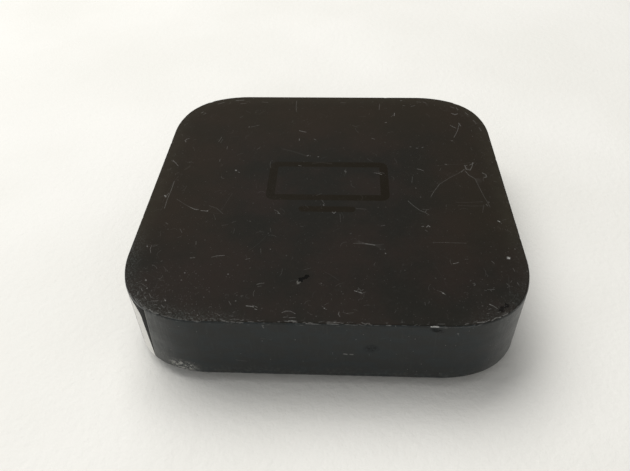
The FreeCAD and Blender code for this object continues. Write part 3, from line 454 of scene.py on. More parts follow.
    # ---- dust and grit: small specks, thicker round the rim and at the front-left corner
    d1, r1 = g.cells(0.95, loose)
    d2, r2 = g.cells(2.6, loose)
    d3, r3 = g.cells(1.7, wobble(1.6, 1.2))
    big = d1.smooth(0.24, 0.10) * (r1 + busy * 0.03).smooth(0.955, 0.965)
    small = d2.smooth(0.30, 0.12) * (r2 + rim * 0.04 + cfl * 0.20 + cfr * 0.08).smooth(0.950, 0.965)
    flakes = d3.smooth(0.34, 0.20) * (r3 + cfl * 0.26 + cfr * 0.12).smooth(0.985, 1.0)
    specks = (big * 0.13).max(small * 0.19).max(flakes * 0.14)
    # ---- gouge and dents
    gd = (stroke((-5.6, -36.1), (-4.1, -34.6), 0.72, 1.0, wobble(1.5, 1.1)) - g.noise(2.0, 3, 0.7).smooth(0.35, 0.75) * 0.40).smooth(0.05, 0.30)
    gd_rim = (stroke((-6.1, -36.9), (-5.4, -35.9), 0.8, 1.0, wobble(1.0, 1.4)) - g.noise(2.4, 2, 0.6).smooth(0.4, 0.7) * 0.4).smooth(0.1, 0.6) * gd.inv()
    dark = (stroke((39.7, -43.9), (41.0, -42.6), 1.05, 1.0, wobble(2.2, 0.9)) - g.noise(1.6, 4, 0.7).smooth(0.35, 0.7) * 0.6).smooth(0.1, 0.55)

    # ---- the mark: a flush, glossy, plain screen outline on a short foot
    def rbox(cx, cy, hx, hy, r):
        qx = ((x - cx).abs() - (hx - r)).max(0.0)
        qy = ((y - cy).abs() - (hy - r)).max(0.0)
        inside = ((x - cx).abs() - (hx - r)).max((y - cy).abs() - (hy - r)).min(0.0)
        return (qx * qx + qy * qy).pow(0.5) + inside - r

    screen = (rbox(0.0, 2.6, 17.0, 8.8, 2.4) + 1.2).abs() - 1.2
    foot_bar = rbox(0.0, -9.9, 7.6, 1.15, 1.1)
    mark = screen.min(foot_bar).smooth(0.07, -0.07)

    edge = rbox(0.0, 0.0, 49.0, 49.0, 19.5)                            # about minus the distance to the rim
    near_l, near_r = (x + y).smooth(-60.0, -76.0), (x - y).smooth(74.0, 84.0)
    frost = edge.smooth(-5.2, -0.4) * g.noise(2.4, 5, 0.85).smooth(0.47, 0.64) * (near_l * 0.13).max(near_r * 0.07).max(x.smooth(40.0, 48.0) * y.smooth(-8.0, -30.0) * 0.04)
    halo = edge.smooth(-6.0, -0.5) * y.smooth(-34.0, -14.0) * g.noise(0.4, 4, 0.7).smooth(0.3, 0.65, 0.4, 1.0)
    blot = g.noise(0.055, 4, 0.6)
    blot2 = g.noise(0.35, 4, 0.62)
    mottle = g.noise(1.4, 3, 0.65)
    col = g.mix(blot.smooth(0.35, 0.65), TOP_DARK, TOP_LIGHT)
    col = g.mix(blot2.smooth(0.42, 0.75) * 0.25 + mottle.smooth(0.5, 0.8) * 0.22 + busy * 0.14, col, TOP_HAZE)
    col = g.mix((rimx.smooth(14.0, 44.0) * y.smooth(-40.0, -10.0) * 0.48).max(y.smooth(6.0, 42.0) * 0.58), col, TOP_WARM)
    col = g.mix(halo * 0.50, col, (0.0270, 0.0240, 0.0165, 1))
    col = g.mix(frost, col, (0.27, 0.31, 0.30, 1))
    col = g.mix(mark, col, MARK_COLOUR)
    col = g.mix(gd.max(dark * 0.75), col, (0.0006, 0.0005, 0.0004, 1))
    col = g.mix(specks * mark.smooth(0, 1, 1.0, 0.6), col, SCUFF)
    col = g.mix(gd_rim * 0.22, col, DUST_AND_HIGHLIGHT)
    # pale colour of chips and worn places, and of the painted edge highlight
    col = g.mix(worn_and_highlight, col, CHIP_AND_HIGHLIGHT)
    rough = (blot2.smooth(0.3, 0.7, 0.60, 0.68) - mark * 0.14 + specks * 0.15 + worn_and_highlight * 0.1).sat()
    grain = g.noise(6.0, 3, 0.65)
    h = grain * 0.10 * mark.inv() + g.noise(0.9, 2, 0.5) * 0.05
    h = h - gd * 2.2 - dark * 0.8 + gd_rim * 0.7 - mark * 0.05 + specks * 0.3 - worn_and_highlight * 0.35
    return g.set(color=col, rough=rough, normal=g.bump(h, 0.10 * MM), spec=0.055)


TOP_DARK, TOP_LIGHT, TOP_HAZE = (0.0096, 0.0093, 0.0076, 1), (0.0150, 0.0112, 0.0090, 1), (0.021, 0.020, 0.0175, 1)
TOP_WARM = (0.0185, 0.0133, 0.0076, 1)
MARK_COLOUR = (0.0060, 0.0040, 0.0010, 1)
WALL_DARK, WALL_LIGHT, WALL_HAZE = (0.0046, 0.0060, 0.0057, 1), (0.0085, 0.0104, 0.0099, 1), (0.026, 0.030, 0.029, 1)
DUST_AND_HIGHLIGHT, SCUFF, CHIP_AND_HIGHLIGHT = (0.30, 0.30, 0.28, 1), (0.17, 0.17, 0.165, 1), (0.42, 0.42, 0.41, 1)

# (points, half-width, strength), millimetres on the top face: the scratches and specks that stand out
MARKS = [
    (((-43.7, 1.5), (-43.7, -2.6), (-43.9, -6.6), (-43.8, -10.4)), 0.15, 0.17), (((-45.0, -4.9), (-44.5, -5.6)), 0.24, 0.46),
    (((-44.10, -3.79), (-44.48, -5.35)), 0.11, 0.21), (((-41.3, -6.5), (-38.3, -8.9), (-36.7, -10.0)), 0.12, 0.10),
    (((-36.7, -10.0), (-35.5, -10.7), (-34.4, -10.8)), 0.15, 0.31), (((-33.8, -11.2), (-32.0, -11.4)), 0.13, 0.28),
    (((-32.0, -11.3), (-31.9, -11.4)), 0.22, 0.50), (((-31.9, -9.1), (-29.7, -10.1), (-27.6, -12.4)), 0.12, 0.10),
    (((-44.9, -25.2), (-44.7, -25.4)), 0.28, 0.28), (((-43.8, -24.9), (-43.8, -26.3), (-43.3, -27.7)), 0.11, 0.19),
    (((-43.43, -25.36), (-42.34, -24.89)), 0.09, 0.13), (((-33.1, -29.2), (-32.0, -29.0)), 0.18, 0.15),
    (((-27.9, -28.8), (-26.7, -28.3), (-24.8, -28.1)), 0.12, 0.26), (((-32.8, -23.2), (-32.6, -24.4)), 0.17, 0.11),
    (((-33.5, -34.2), (-33.4, -34.3)), 0.26, 0.26), (((-23.0, -34.4), (-22.9, -34.5)), 0.29, 0.21), (((-33.8, -36.5), (-33.7, -36.7)), 0.20, 0.13),
    (((-14.1, -10.5), (-13.1, -11.1), (-12.6, -12.0)), 0.13, 0.16), (((-13.0, -11.8), (-12.5, -12.0)), 0.18, 0.26),
    (((-13.7, -25.6), (-13.6, -25.7)), 0.22, 0.20), (((-16.1, -25.5), (-15.9, -26.9)), 0.13, 0.10), (((-19.4, -29.4), (-18.4, -29.0)), 0.13, 0.15),
    (((-15.7, -37.6), (-14.9, -37.2), (-14.0, -37.1)), 0.11, 0.21), (((-15.42, -38.21), (-14.61, -38.06)), 0.11, 0.13),
    (((-17.4, -44.2), (-16.3, -44.3), (-15.6, -44.5)), 0.13, 0.46), (((-16.03, -43.95), (-14.77, -44.57)), 0.09, 0.26),
    (((-15.33, -45.06), (-14.83, -45.25)), 0.11, 0.31), (((-20.0, -42.8), (-19.9, -42.8)), 0.26, 0.18),
    (((-27.5, -41.8), (-27.4, -41.9)), 0.20, 0.15), (((-28.0, -47.1), (-27.9, -47.3)), 0.18, 0.21), (((0.3, -44.4), (0.4, -44.5)), 0.24, 0.34),
    (((-0.19, -43.96), (0.15, -44.07)), 0.11, 0.15), (((0.63, -44.82), (0.96, -44.70)), 0.09, 0.15),
    (((-9.1, -46.0), (-8.3, -45.5), (-7.2, -45.5), (-6.1, -46.2)), 0.12, 0.22), (((-8.7, -47.3), (-7.8, -47.2)), 0.13, 0.15),
    (((-7.4, -47.4), (-6.0, -47.3)), 0.14, 0.17),
    (((-23.62, -46.68), (-22.97, -47.18)), 0.11, 0.18), (((-22.3, -47.7), (-22.1, -48.3)), 0.15, 0.28),
    (((-20.83, -47.18), (-20.13, -47.31)), 0.09, 0.13), (((-42.5, -36.6), (-42.2, -36.7), (-42.1, -37.1), (-42.4, -37.0)), 0.15, 0.26),
    (((-41.4, -39.4), (-41.3, -39.5)), 0.24, 0.31), (((-43.2, -40.5), (-43.0, -41.5), (-42.9, -42.6)), 0.13, 0.23),
    (((-39.4, -43.3), (-38.5, -43.3), (-37.8, -43.1)), 0.13, 0.21), (((-36.2, -42.9), (-36.1, -43.2)), 0.20, 0.43),
    (((-40.38, -41.09), (-39.60, -42.37)), 0.11, 0.18), (((-42.63, -38.30), (-41.72, -38.86)), 0.11, 0.18),
    (((-42.8, -39.4), (-42.2, -40.3)), 0.13, 0.21), (((-40.1, -44.4), (-39.2, -45.1)), 0.15, 0.26),
    (((-39.0, -45.8), (-38.4, -45.3), (-37.9, -46.0)), 0.15, 0.46), (((-37.5, -46.5), (-36.9, -46.1), (-36.2, -46.7)), 0.15, 0.43),
    (((-35.9, -46.7), (-35.0, -47.1), (-35.4, -47.5)), 0.15, 0.31), (((-37.40, -45.21), (-36.66, -45.61)), 0.11, 0.21),
    (((-34.78, -46.44), (-34.00, -46.66)), 0.11, 0.21), (((-38.46, -44.28), (-37.71, -44.50)), 0.11, 0.18),
    (((-36.78, -44.42), (-36.15, -45.06)), 0.11, 0.20), (((-33.97, -45.30), (-33.35, -45.64)), 0.09, 0.15),
    (((-41.38, -41.92), (-40.56, -42.94)), 0.11, 0.21), (((-38.50, -41.97), (-38.10, -41.47)), 0.09, 0.15),
    (((-33.80, -47.47), (-32.83, -47.73)), 0.11, 0.21), (((-32.43, -45.85), (-31.82, -46.07)), 0.09, 0.13),
    (((-30.35, -46.56), (-29.82, -46.90)), 0.11, 0.15), (((-29.07, -45.71), (-28.79, -45.99)), 0.11, 0.15),
    (((-26.9, 7.1), (-26.7, 6.8)), 0.39, 0.32), (((-26.1, 6.2), (-25.6, 5.9)), 0.18, 0.15), (((-1.0, -8.1), (-0.9, -8.4)), 0.24, 0.28),
    (((-1.32, -6.32), (-0.96, -7.34)), 0.09, 0.10), (((1.4, -11.1), (1.9, -11.7), (2.4, -11.0)), 0.13, 0.28),
    (((13.0, 6.4), (14.2, 6.2), (15.2, 5.6)), 0.12, 0.31), (((14.14, 6.84), (15.95, 6.20)), 0.09, 0.18),
    (((25.4, 8.5), (26.3, 8.2), (27.2, 7.6)), 0.12, 0.31), (((39.3, 10.3), (39.4, 8.4), (40.5, 8.1), (41.3, 10.0), (41.8, 11.9)), 0.15, 0.24),
    (((39.1, 10.4), (39.9, 10.4)), 0.13, 0.26), (((40.7, 10.6), (42.0, 11.6)), 0.13, 0.28), (((37.77, 7.04), (38.88, 8.50)), 0.11, 0.18),
    (((28.1, -4.3), (28.8, -2.6), (31.0, 1.4)), 0.13, 0.15), (((31.0, 1.4), (34.2, 4.4)), 0.12, 0.11), (((34.2, 4.4), (37.0, 6.6), (38.7, 8.4)), 0.11, 0.10),
    (((39.0, 7.8), (39.8, 5.7), (41.2, 4.2)), 0.15, 0.18), (((41.2, 4.2), (41.8, 0.4), (42.5, -4.0), (43.0, -6.2)), 0.12, 0.12),
    (((43.01, -6.20), (43.41, -8.37)), 0.09, 0.10), (((41.84, -7.36), (41.01, -10.51)), 0.09, 0.10),
    (((43.7, 6.9), (44.6, 6.2), (44.7, 5.0), (43.9, 4.6)), 0.14, 0.28), (((47.62, 12.12), (47.64, 12.02)), 0.30, 0.8),
    (((21.8, -6.1), (23.2, -8.2), (24.7, -10.0)), 0.13, 0.16), (((24.7, -10.0), (26.0, -10.8), (26.9, -11.8)), 0.11, 0.17),
    (((25.36, -9.51), (27.20, -9.64)), 0.09, 0.15), (((25.91, -10.73), (26.60, -9.57)), 0.09, 0.18), (((23.82, 4.82), (23.44, 1.94)), 0.11, 0.13),
    (((24.3, -0.4), (24.4, -0.5)), 0.20, 0.21), (((25.3, -4.3), (25.4, -4.5)), 0.22, 0.15), (((34.6, -6.4), (38.1, -6.4), (41.8, -6.0)), 0.09, 0.07),
    (((35.1, -7.7), (38.4, -7.9), (41.5, -7.8)), 0.09, 0.07), (((43.3, -6.1), (43.4, -6.3)), 0.20, 0.26), (((42.5, -7.1), (42.8, -7.8)), 0.13, 0.21),
    (((44.4, -13.8), (44.8, -14.1)), 0.24, 0.58), (((45.6, -13.5), (46.8, -13.1), (47.8, -13.0)), 0.09, 0.10),
    (((24.6, -16.4), (25.1, -16.3)), 0.18, 0.28), (((25.8, -16.6), (26.3, -15.9), (26.7, -16.5)), 0.17, 0.31),
    (((25.37, -17.70), (25.83, -18.23)), 0.11, 0.15), (((14.16, -16.35), (15.16, -16.10)), 0.11, 0.15),
    (((9.9, -23.1), (11.0, -23.3), (12.3, -23.6)), 0.28, 0.21), (((6.9, -23.1), (9.9, -23.1)), 0.15, 0.09),
    (((12.3, -23.6), (14.5, -23.2)), 0.13, 0.05), (((26.8, -22.3), (30.8, -22.3), (35.1, -22.4)), 0.12, 0.10),
    (((14.8, -26.4), (14.9, -26.6)), 0.22, 0.26), (((30.9, -29.7), (31.6, -29.5), (32.3, -29.2)), 0.14, 0.28),
    (((34.00, -28.11), (34.73, -28.03)), 0.09, 0.15), (((40.3, -28.6), (40.8, -29.4)), 0.13, 0.16),
    (((7.1, -39.0), (7.9, -39.3), (8.9, -39.7)), 0.13, 0.43), (((8.44, -39.25), (9.19, -38.61)), 0.09, 0.18),
    (((7.99, -38.01), (8.67, -39.00)), 0.09, 0.15), (((8.87, -39.74), (9.73, -39.28)), 0.09, 0.15), (((27.4, -39.2), (27.5, -39.3)), 0.28, 0.50),
    (((27.02, -38.73), (27.22, -38.97)), 0.11, 0.18), (((27.70, -39.64), (27.98, -39.57)), 0.11, 0.18),
    (((34.6, -36.1), (35.1, -35.9), (35.2, -36.5), (34.8, -36.7)), 0.13, 0.15), (((38.18, -37.86), (39.35, -37.83)), 0.11, 0.15),
    (((37.05, -38.05), (37.48, -38.22)), 0.11, 0.15), (((47.6, -20.6), (47.6, -20.8)), 0.15, 0.18), (((46.7, -24.1), (46.7, -24.4)), 0.15, 0.21),
    (((4.7, 7.1), (5.0, 6.7)), 0.39, 0.15), (((33.7, 10.9), (34.1, 10.7)), 0.28, 0.15), (((7.77, -9.56), (10.50, -9.76)), 0.11, 0.11),
    (((37.4, -42.3), (38.1, -42.7), (39.0, -43.6)), 0.13, 0.26), (((37.6, -42.4), (37.7, -42.6)), 0.20, 0.31),
    (((37.00, -43.83), (37.51, -43.64)), 0.11, 0.21), (((36.38, -45.12), (37.17, -44.86)), 0.11, 0.18),
    (((38.78, -44.77), (39.59, -44.40)), 0.11, 0.15), (((3.7, -45.4), (3.5, -46.1), (3.9, -46.8)), 0.13, 0.17),
    (((5.36, -45.81), (6.92, -45.59)), 0.09, 0.11), (((-45.3, 42.6), (-43.8, 44.0)), 0.18, 0.21), (((-39.4, 45.4), (-37.0, 46.0)), 0.18, 0.18),
    (((-32.3, 46.3), (-29.6, 46.6)), 0.20, 0.26), (((-0.7, -36.8), (-0.5, -36.9)), 0.18, 0.15), (((-6.70, -16.83), (-5.90, -17.12)), 0.11, 0.10),
    (((-14.45, -17.77), (-14.15, -19.30)), 0.11, 0.09), (((-24.66, -15.86), (-23.70, -15.20)), 0.11, 0.10),
    (((-37.9, -18.6), (-37.1, -19.9)), 0.13, 0.12), (((-42.1, -16.3), (-41.5, -16.8)), 0.22, 0.11), (((19.2, -32.1), (19.3, -32.2)), 0.18, 0.15),
    (((15.94, -37.69), (16.65, -37.55)), 0.09, 0.11), (((23.04, -42.11), (23.05, -43.01)), 0.11, 0.10),
    (((42.41, -35.78), (42.94, -36.59)), 0.11, 0.15), (((44.90, -30.84), (45.12, -31.90)), 0.11, 0.15), (((45.0, -35.5), (45.2, -36.3)), 0.13, 0.15),
    (((44.48, -27.46), (44.60, -27.38)), 0.62, 1.0),
    # towards the back
    (((-42.6, 38.2), (-42.0, 38.9)), 0.17, 0.24), (((-41.5, 38.1), (-41.0, 37.9)), 0.15, 0.21), (((-41.95, 37.36), (-41.30, 37.50)), 0.13, 0.18),
    (((-43.7, 23.2), (-44.5, 22.8), (-44.8, 22.0), (-44.3, 21.2)), 0.14, 0.27), (((-33.64, 24.14), (-34.23, 21.59)), 0.13, 0.18),
    (((-33.19, 22.92), (-33.52, 21.05)), 0.11, 0.15), (((-47.7, 13.6), (-46.3, 11.7), (-44.1, 8.8)), 0.12, 0.24),
    (((-47.7, 11.7), (-46.6, 11.4), (-44.9, 10.2)), 0.11, 0.20), (((-32.3, 12.4), (-32.3, 11.3)), 0.15, 0.18),
    (((-31.11, 19.02), (-31.07, 17.53)), 0.13, 0.15), (((-25.9, 29.8), (-25.7, 30.1)), 0.21, 0.24), (((-25.17, 29.97), (-22.72, 31.06)), 0.11, 0.18),
    (((-9.8, 28.1), (-8.7, 27.6), (-7.5, 27.2)), 0.17, 0.30), (((-9.4, 23.5), (-9.4, 22.5)), 0.17, 0.24), (((-4.9, 23.4), (-4.3, 22.9)), 0.19, 0.18),
    (((-21.85, 17.66), (-21.04, 18.63)), 0.11, 0.15), (((-6.6, 14.4), (-6.1, 14.8)), 0.19, 0.30), (((-5.7, 14.4), (-5.5, 14.5)), 0.13, 0.20),
    (((-3.4, 14.0), (-3.1, 14.1)), 0.19, 0.28), (((-8.9, 9.7), (-8.0, 9.4)), 0.15, 0.23),
    (((-11.7, 46.1), (-11.7, 43.2), (-11.4, 39.4)), 0.13, 0.15), (((-17.1, 11.5), (-17.2, 9.8), (-16.8, 8.2)), 0.10, 0.11),
    (((-14.3, 17.9), (-11.8, 17.1), (-9.3, 15.9), (-6.8, 14.5)), 0.33, 0.03), (((-4.8, 10.7), (-2.5, 11.3), (0.8, 10.6)), 0.38, 0.03),
    (((-41.8, 7.0), (-40.6, 8.8)), 0.38, 0.03), (((20.6, 38.8), (20.4, 37.1)), 0.18, 0.27), (((19.29, 36.46), (20.46, 37.93)), 0.09, 0.15),
    (((17.3, 33.0), (17.8, 33.2)), 0.21, 0.27), (((16.04, 44.55), (15.70, 40.73)), 0.13, 0.17), (((23.0, 46.8), (23.5, 46.8)), 0.17, 0.27),
    (((23.6, 43.6), (24.3, 43.4)), 0.15, 0.21), (((26.2, 43.0), (27.6, 43.6)), 0.15, 0.21), (((28.4, 46.0), (29.7, 45.7)), 0.15, 0.21),
    (((30.4, 46.0), (31.5, 45.0)), 0.15, 0.24), (((39.2, 42.9), (40.2, 42.1)), 0.15, 0.21), (((40.9, 42.3), (41.4, 41.0)), 0.15, 0.24),
    (((38.9, 38.8), (40.0, 38.0), (40.9, 38.6)), 0.17, 0.36), (((37.7, 31.8), (38.5, 30.8), (39.3, 30.1)), 0.13, 0.30),
    (((40.7, 32.8), (39.6, 28.7), (38.0, 24.8)), 0.13, 0.20), (((40.46, 33.12), (40.97, 31.26)), 0.14, 0.27),
    (((36.9, 23.1), (37.5, 22.9)), 0.17, 0.21), (((43.7, 25.7), (43.8, 25.5)), 0.15, 0.18), (((47.3, 27.3), (47.7, 26.7)), 0.21, 0.39),
    (((47.7, 18.5), (47.7, 15.4)), 0.19, 0.15), (((12.83, 24.10), (13.73, 23.56)), 0.13, 0.27), (((24.2, 19.6), (24.6, 19.5)), 0.17, 0.30),
    (((26.0, 19.0), (26.5, 18.9)), 0.17, 0.30), (((27.7, 19.2), (28.2, 19.5)), 0.15, 0.24), (((3.49, -11.83), (3.68, -15.04)), 0.11, 0.08),
    (((-3.04, -4.18), (-1.70, -3.28)), 0.10, 0.11), (((-1.60, -6.07), (-0.73, -7.76)), 0.10, 0.13), (((-30.6, 44.1), (-28.6, 44.5)), 0.15, 0.18),
    (((-23.28, 45.34), (-21.23, 45.10)), 0.13, 0.17), (((3.02, 45.33), (4.70, 45.09)), 0.13, 0.17), (((-38.0, 43.9), (-36.1, 45.0)), 0.17, 0.20),
    (((-44.8, 40.3), (-44.1, 41.9)), 0.15, 0.18), (((43.4, 39.4), (44.2, 37.8)), 0.15, 0.20), (((45.3, 34.8), (46.0, 32.8)), 0.15, 0.19),
    (((46.5, 30.5), (46.9, 28.6)), 0.15, 0.18), (((-29.44, 35.54), (-28.57, 36.40)), 0.11, 0.13), (((6.99, 31.19), (8.25, 30.39)), 0.11, 0.13),
]
# (start, end, half-width, strength), millimetres on the side wall
WALL_STROKES = [
    ((30.0, -49.0, 20.2), (31.9, -49.0, 16.7), 0.15, 0.80), ((29.9, -49.0, 20.5), (30.0, -49.0, 20.4), 0.36, 0.6), ((-13.3, -49.0, 22.2), (-13.2, -49.0, 21.4), 0.22, 0.40),
    ((5.0, -49.0, 12.2), (5.6, -49.0, 12.1), 0.30, 0.75), ((6.4, -49.0, 12.15), (7.0, -49.0, 12.1), 0.28, 0.65),
    ((-14.0, -49.0, 17.5), (-11.5, -49.0, 17.0), 0.14, 0.10), ((-4.0, -49.0, 13.2), (-1.0, -49.0, 12.9), 0.16, 0.08),
    ((13.0, -49.0, 18.2), (14.8, -49.0, 18.6), 0.14, 0.10), ((-20.5, -49.0, 9.0), (-18.0, -49.0, 8.5), 0.2, 0.2),
    ((49.0, 4.0, 15.0), (49.0, -3.5, 13.6), 0.18, 0.30), ((49.0, -14.0, 8.0), (49.0, -16.2, 9.8), 0.20, 0.35), ((49.0, 18.0, 18.5), (49.0, 12.5, 18.9), 0.22, 0.35),
    ((-49.0, 8.0, 16.8), (-49.0, 1.5, 15.4), 0.20, 0.35), ((-49.0, -12.0, 7.2), (-49.0, -8.2, 8.4), 0.22, 0.3), ((-49.0, 21.0, 12.0), (-49.0, 23.5, 10.4), 0.18, 0.35),
    ((-43.0, 43.5, 14.0), (-40.0, 45.8, 12.5), 0.2, 0.35), ((36.5, 47.4, 19.5), (39.5, 46.0, 19.0), 0.22, 0.35),
]
CASE_TOP, CASE_SIDE = case_material("top"), case_material("side")

# =============================================================== the case, built as a ring of section curves
R_SIDE, R_CORNER, TURN, HW = 26.9, 16.95, math.radians(21.45), 49.0
REACH = R_SIDE * (1 + math.sin(TURN) - math.cos(TURN)) + R_CORNER * (math.cos(TURN) - math.sin(TURN))


def outline(step):
    """Points, outward normals and run length round the case's plan, in millimetres, anticlockwise from the right side's far end."""
    segs, p, h = [], np.array([HW, HW - REACH]), math.pi / 2
    for _ in range(4):
        for r, a in ((R_SIDE, TURN), (R_CORNER, math.pi / 2 - 2 * TURN), (R_SIDE, TURN)):
            c = p + np.array([-math.sin(h), math.cos(h)]) * r
            segs.append((r * a, p, h, c, r, a))
            v = p - c
            p = c + np.array([v[0] * math.cos(a) - v[1] * math.sin(a), v[0] * math.sin(a) + v[1] * math.cos(a)])
            h += a
        length = 2 * (HW - REACH)
        segs.append((length, p, h, None, 0, 0))
        p = p + np.array([math.cos(h), math.sin(h)]) * length
    pts, nrm, run, at = [], [], [], 0.0
    for length, p, h, c, r, a in segs:
        m = max(2, round(length / step))
        for i in range(m):
            t = i / m
            hh = h + a * t
            if c is None:
                q = p + np.array([math.cos(h), math.sin(h)]) * length * t
            else:
                v = p - c
                q = c + np.array([v[0] * math.cos(a * t) - v[1] * math.sin(a * t), v[0] * math.sin(a * t) + v[1] * math.cos(a * t)])
            pts.append(q)
            nrm.append((math.sin(hh), -math.cos(hh)))
            run.append(at + length * t)
        at += length
    return np.array(pts), np.array(nrm), np.array(run), at


PTS, NRM, RUN, TOTAL = outline(0.26)
NCOL = len(PTS)


def run_at(x, y):
    """Run length of the outline's point nearest (x, y)."""
    return RUN[np.argmin((PTS[:, 0] - x) ** 2 + (PTS[:, 1] - y) ** 2)]


rng = np.random.default_rng(5)
EDGE_R = 0.55
S_TOP = EDGE_R * math.pi / 2                                       # run across the edge's rounding, 0 where the wall ends


def front_run(x):
    """Run length of the outline's front point at x."""
    k = np.where(PTS[:, 1] < -20, np.abs(PTS[:, 0] - x), 1e9)
    return RUN[np.argmin(k)]


# (x, s, x, s, half-width, lightness): rubs and flecks on the front top edge, from end to end; the last two, round the
# front-left corner, are a painted highlight along the edge's rounding
EDGE_FLECKS_AND_HIGHLIGHT = [
    (-36.0, 0.62, -31.7, 0.50, 0.070, 0.24), (-34.8, 0.85, -33.9, 0.70, 0.078, 0.20), (-28.8, 0.55, -27.2, 0.35, 0.102, 0.24), (-22.4, 0.90, -21.6, 0.60, 0.109, 0.31),
    (-21.2, 0.50, -20.6, 0.46, 0.102, 0.29), (-20.1, 0.48, -19.4, 0.42, 0.094, 0.29), (-18.9, 0.44, -17.7, 0.34, 0.102, 0.34), (-16.3, 0.62, -15.2, 0.55, 0.086, 0.27),
    (-8.3, 0.95, -7.4, 0.80, 0.086, 0.27), (-7.4, 1.02, -5.8, 0.95, 0.102, 0.43), (-6.4, 0.62, -5.6, 0.70, 0.078, 0.22), (-3.6, 0.44, -0.8, 0.34, 0.086, 0.39),
    (-2.9, 0.70, -2.2, 0.62, 0.078, 0.25), (1.1, 0.50, 3.6, 0.42, 0.098, 0.37), (1.3, 0.92, 3.4, 0.84, 0.078, 0.29), (3.8, 0.82, 4.6, 0.66, 0.078, 0.24),
    (5.0, 0.36, 7.8, 0.32, 0.055, 0.24), (8.8, 0.95, 9.4, 0.50, 0.086, 0.30), (9.4, 0.50, 10.0, 0.80, 0.086, 0.29), (10.0, 0.80, 10.8, 0.40, 0.086, 0.29), (11.6, 0.34, 12.4, 0.34, 0.078, 0.17),
    (14.3, 0.42, 15.0, 0.38, 0.125, 0.29), (17.6, 0.50, 18.4, 0.42, 0.063, 0.15), (23.9, 0.30, 25.4, 0.28, 0.156, 1.23), (24.4, 0.36, 25.0, 0.34, 0.138, 1.14), (25.7, 0.18, 27.2, 0.06, 0.078, 0.29), (27.0, 0.20, 33.2, 0.20, 0.047, 0.20),
    (34.0, 0.90, 35.6, 0.62, 0.102, 0.29), (36.0, 0.70, 36.8, 0.85, 0.102, 0.27), (37.4, 0.60, 38.4, 0.90, 0.109, 0.34), (38.6, 0.85, 39.5, 0.60, 0.118, 0.39), (40.0, 0.75, 41.2, 0.60, 0.109, 0.36),
    (-43.6, 0.80, -42.6, 0.60, 0.109, 0.29), (-42.2, 0.90, -41.4, 0.65, 0.109, 0.34), (-41.0, 0.55, -40.0, 0.75, 0.118, 0.36), (-39.5, 0.85, -38.6, 0.60, 0.118, 0.34), (-38.2, 0.50, -37.0, 0.70, 0.102, 0.29),
    # painted highlight: long pale lines along the rounding of the front-left corner's top edge
    (-46.4, 0.30, -43.6, 0.14, 0.101, 0.39), (-43.6, 0.14, -40.7, 0.05, 0.101, 0.35),
]
# knocks that also take a little of the edge away: (x, y, length, depth)
NICKS = [(24.6, -49, 1.8, 0.18), (25.9, -49, 1.2, 0.08), (9.4, -49, 0.8, 0.10), (2.6, -49, 1.5, 0.07), (-6.6, -49, 1.6, 0.07), (38.6, -46.3, 0.9, 0.08), (-40.6, -45.4, 1.0, 0.07),
         (48.9, -20.0, 0.9, 0.08), (49, 14.0, 1.2, 0.09), (-49, -14.0, 0.8, 0.08), (-49, 21.5, 1.1, 0.09), (-40.4, 45.5, 1.2, 0.09), (18.0, 49, 1.0, 0.08), (41.0, 44.9, 1.4, 0.10)]
depth = np.zeros(NCOL)
for nx, ny, ln, dp in NICKS:
    d = RUN - run_at(nx, ny)
    d = (d + TOTAL / 2) % TOTAL - TOTAL / 2
    depth = np.maximum(depth, np.clip(1 - (np.abs(d) / (ln * 0.62)) ** 2, 0, 1) ** 0.7 * dp)
depth += np.abs(np.convolve(rng.normal(0, 1, NCOL + 8), np.ones(9) / 9, "valid")) * 0.008

edge_flecks_and_highlight = [(front_run(a), sa, front_run(b), sb, w, k) for a, sa, b, sb, w, k in EDGE_FLECKS_AND_HIGHLIGHT]
f0, f1, f2, f3, f4 = front_run(-45.5), front_run(-36.0), front_run(9.5), front_run(30.0), front_run(44.0)
for lo, hi, many, top_k in ((0, TOTAL, 260, 0.20), (f0, f1, 60, 0.38), (f1, f2, 80, 0.26), (f3, f4, 30, 0.30)):
    for _ in range(many):
        c, ln = rng.uniform(lo, hi), rng.uniform(0.05, 0.75)
        sa = rng.uniform(-0.15, 1.25)
        edge_flecks_and_highlight.append((c, sa, c + ln, sa + rng.normal(0, 0.12), rng.uniform(0.045, 0.09), rng.uniform(0.05, top_k)))
edge_flecks_and_highlight = np.array(edge_flecks_and_highlight)


def edge_wear_and_highlight(s):
    """Lightness of each column at run s across the edge."""
    w = np.zeros(NCOL)
    for ra, sa, rb, sb, half, k in edge_flecks_and_highlight[np.abs(edge_flecks_and_highlight[:, 1] - s) < 1.0]:
        d = (RUN - ra + TOTAL / 2) % TOTAL - TOTAL / 2
        t = np.clip(d / max(rb - ra, 1e-6), 0, 1)
        dist = np.hypot(d - (rb - ra) * t, s - (sa + (sb - sa) * t))
        w = np.maximum(w, np.clip(1 - dist / (half + 0.02), 0, 1) ** 0.8 * k)
    return w


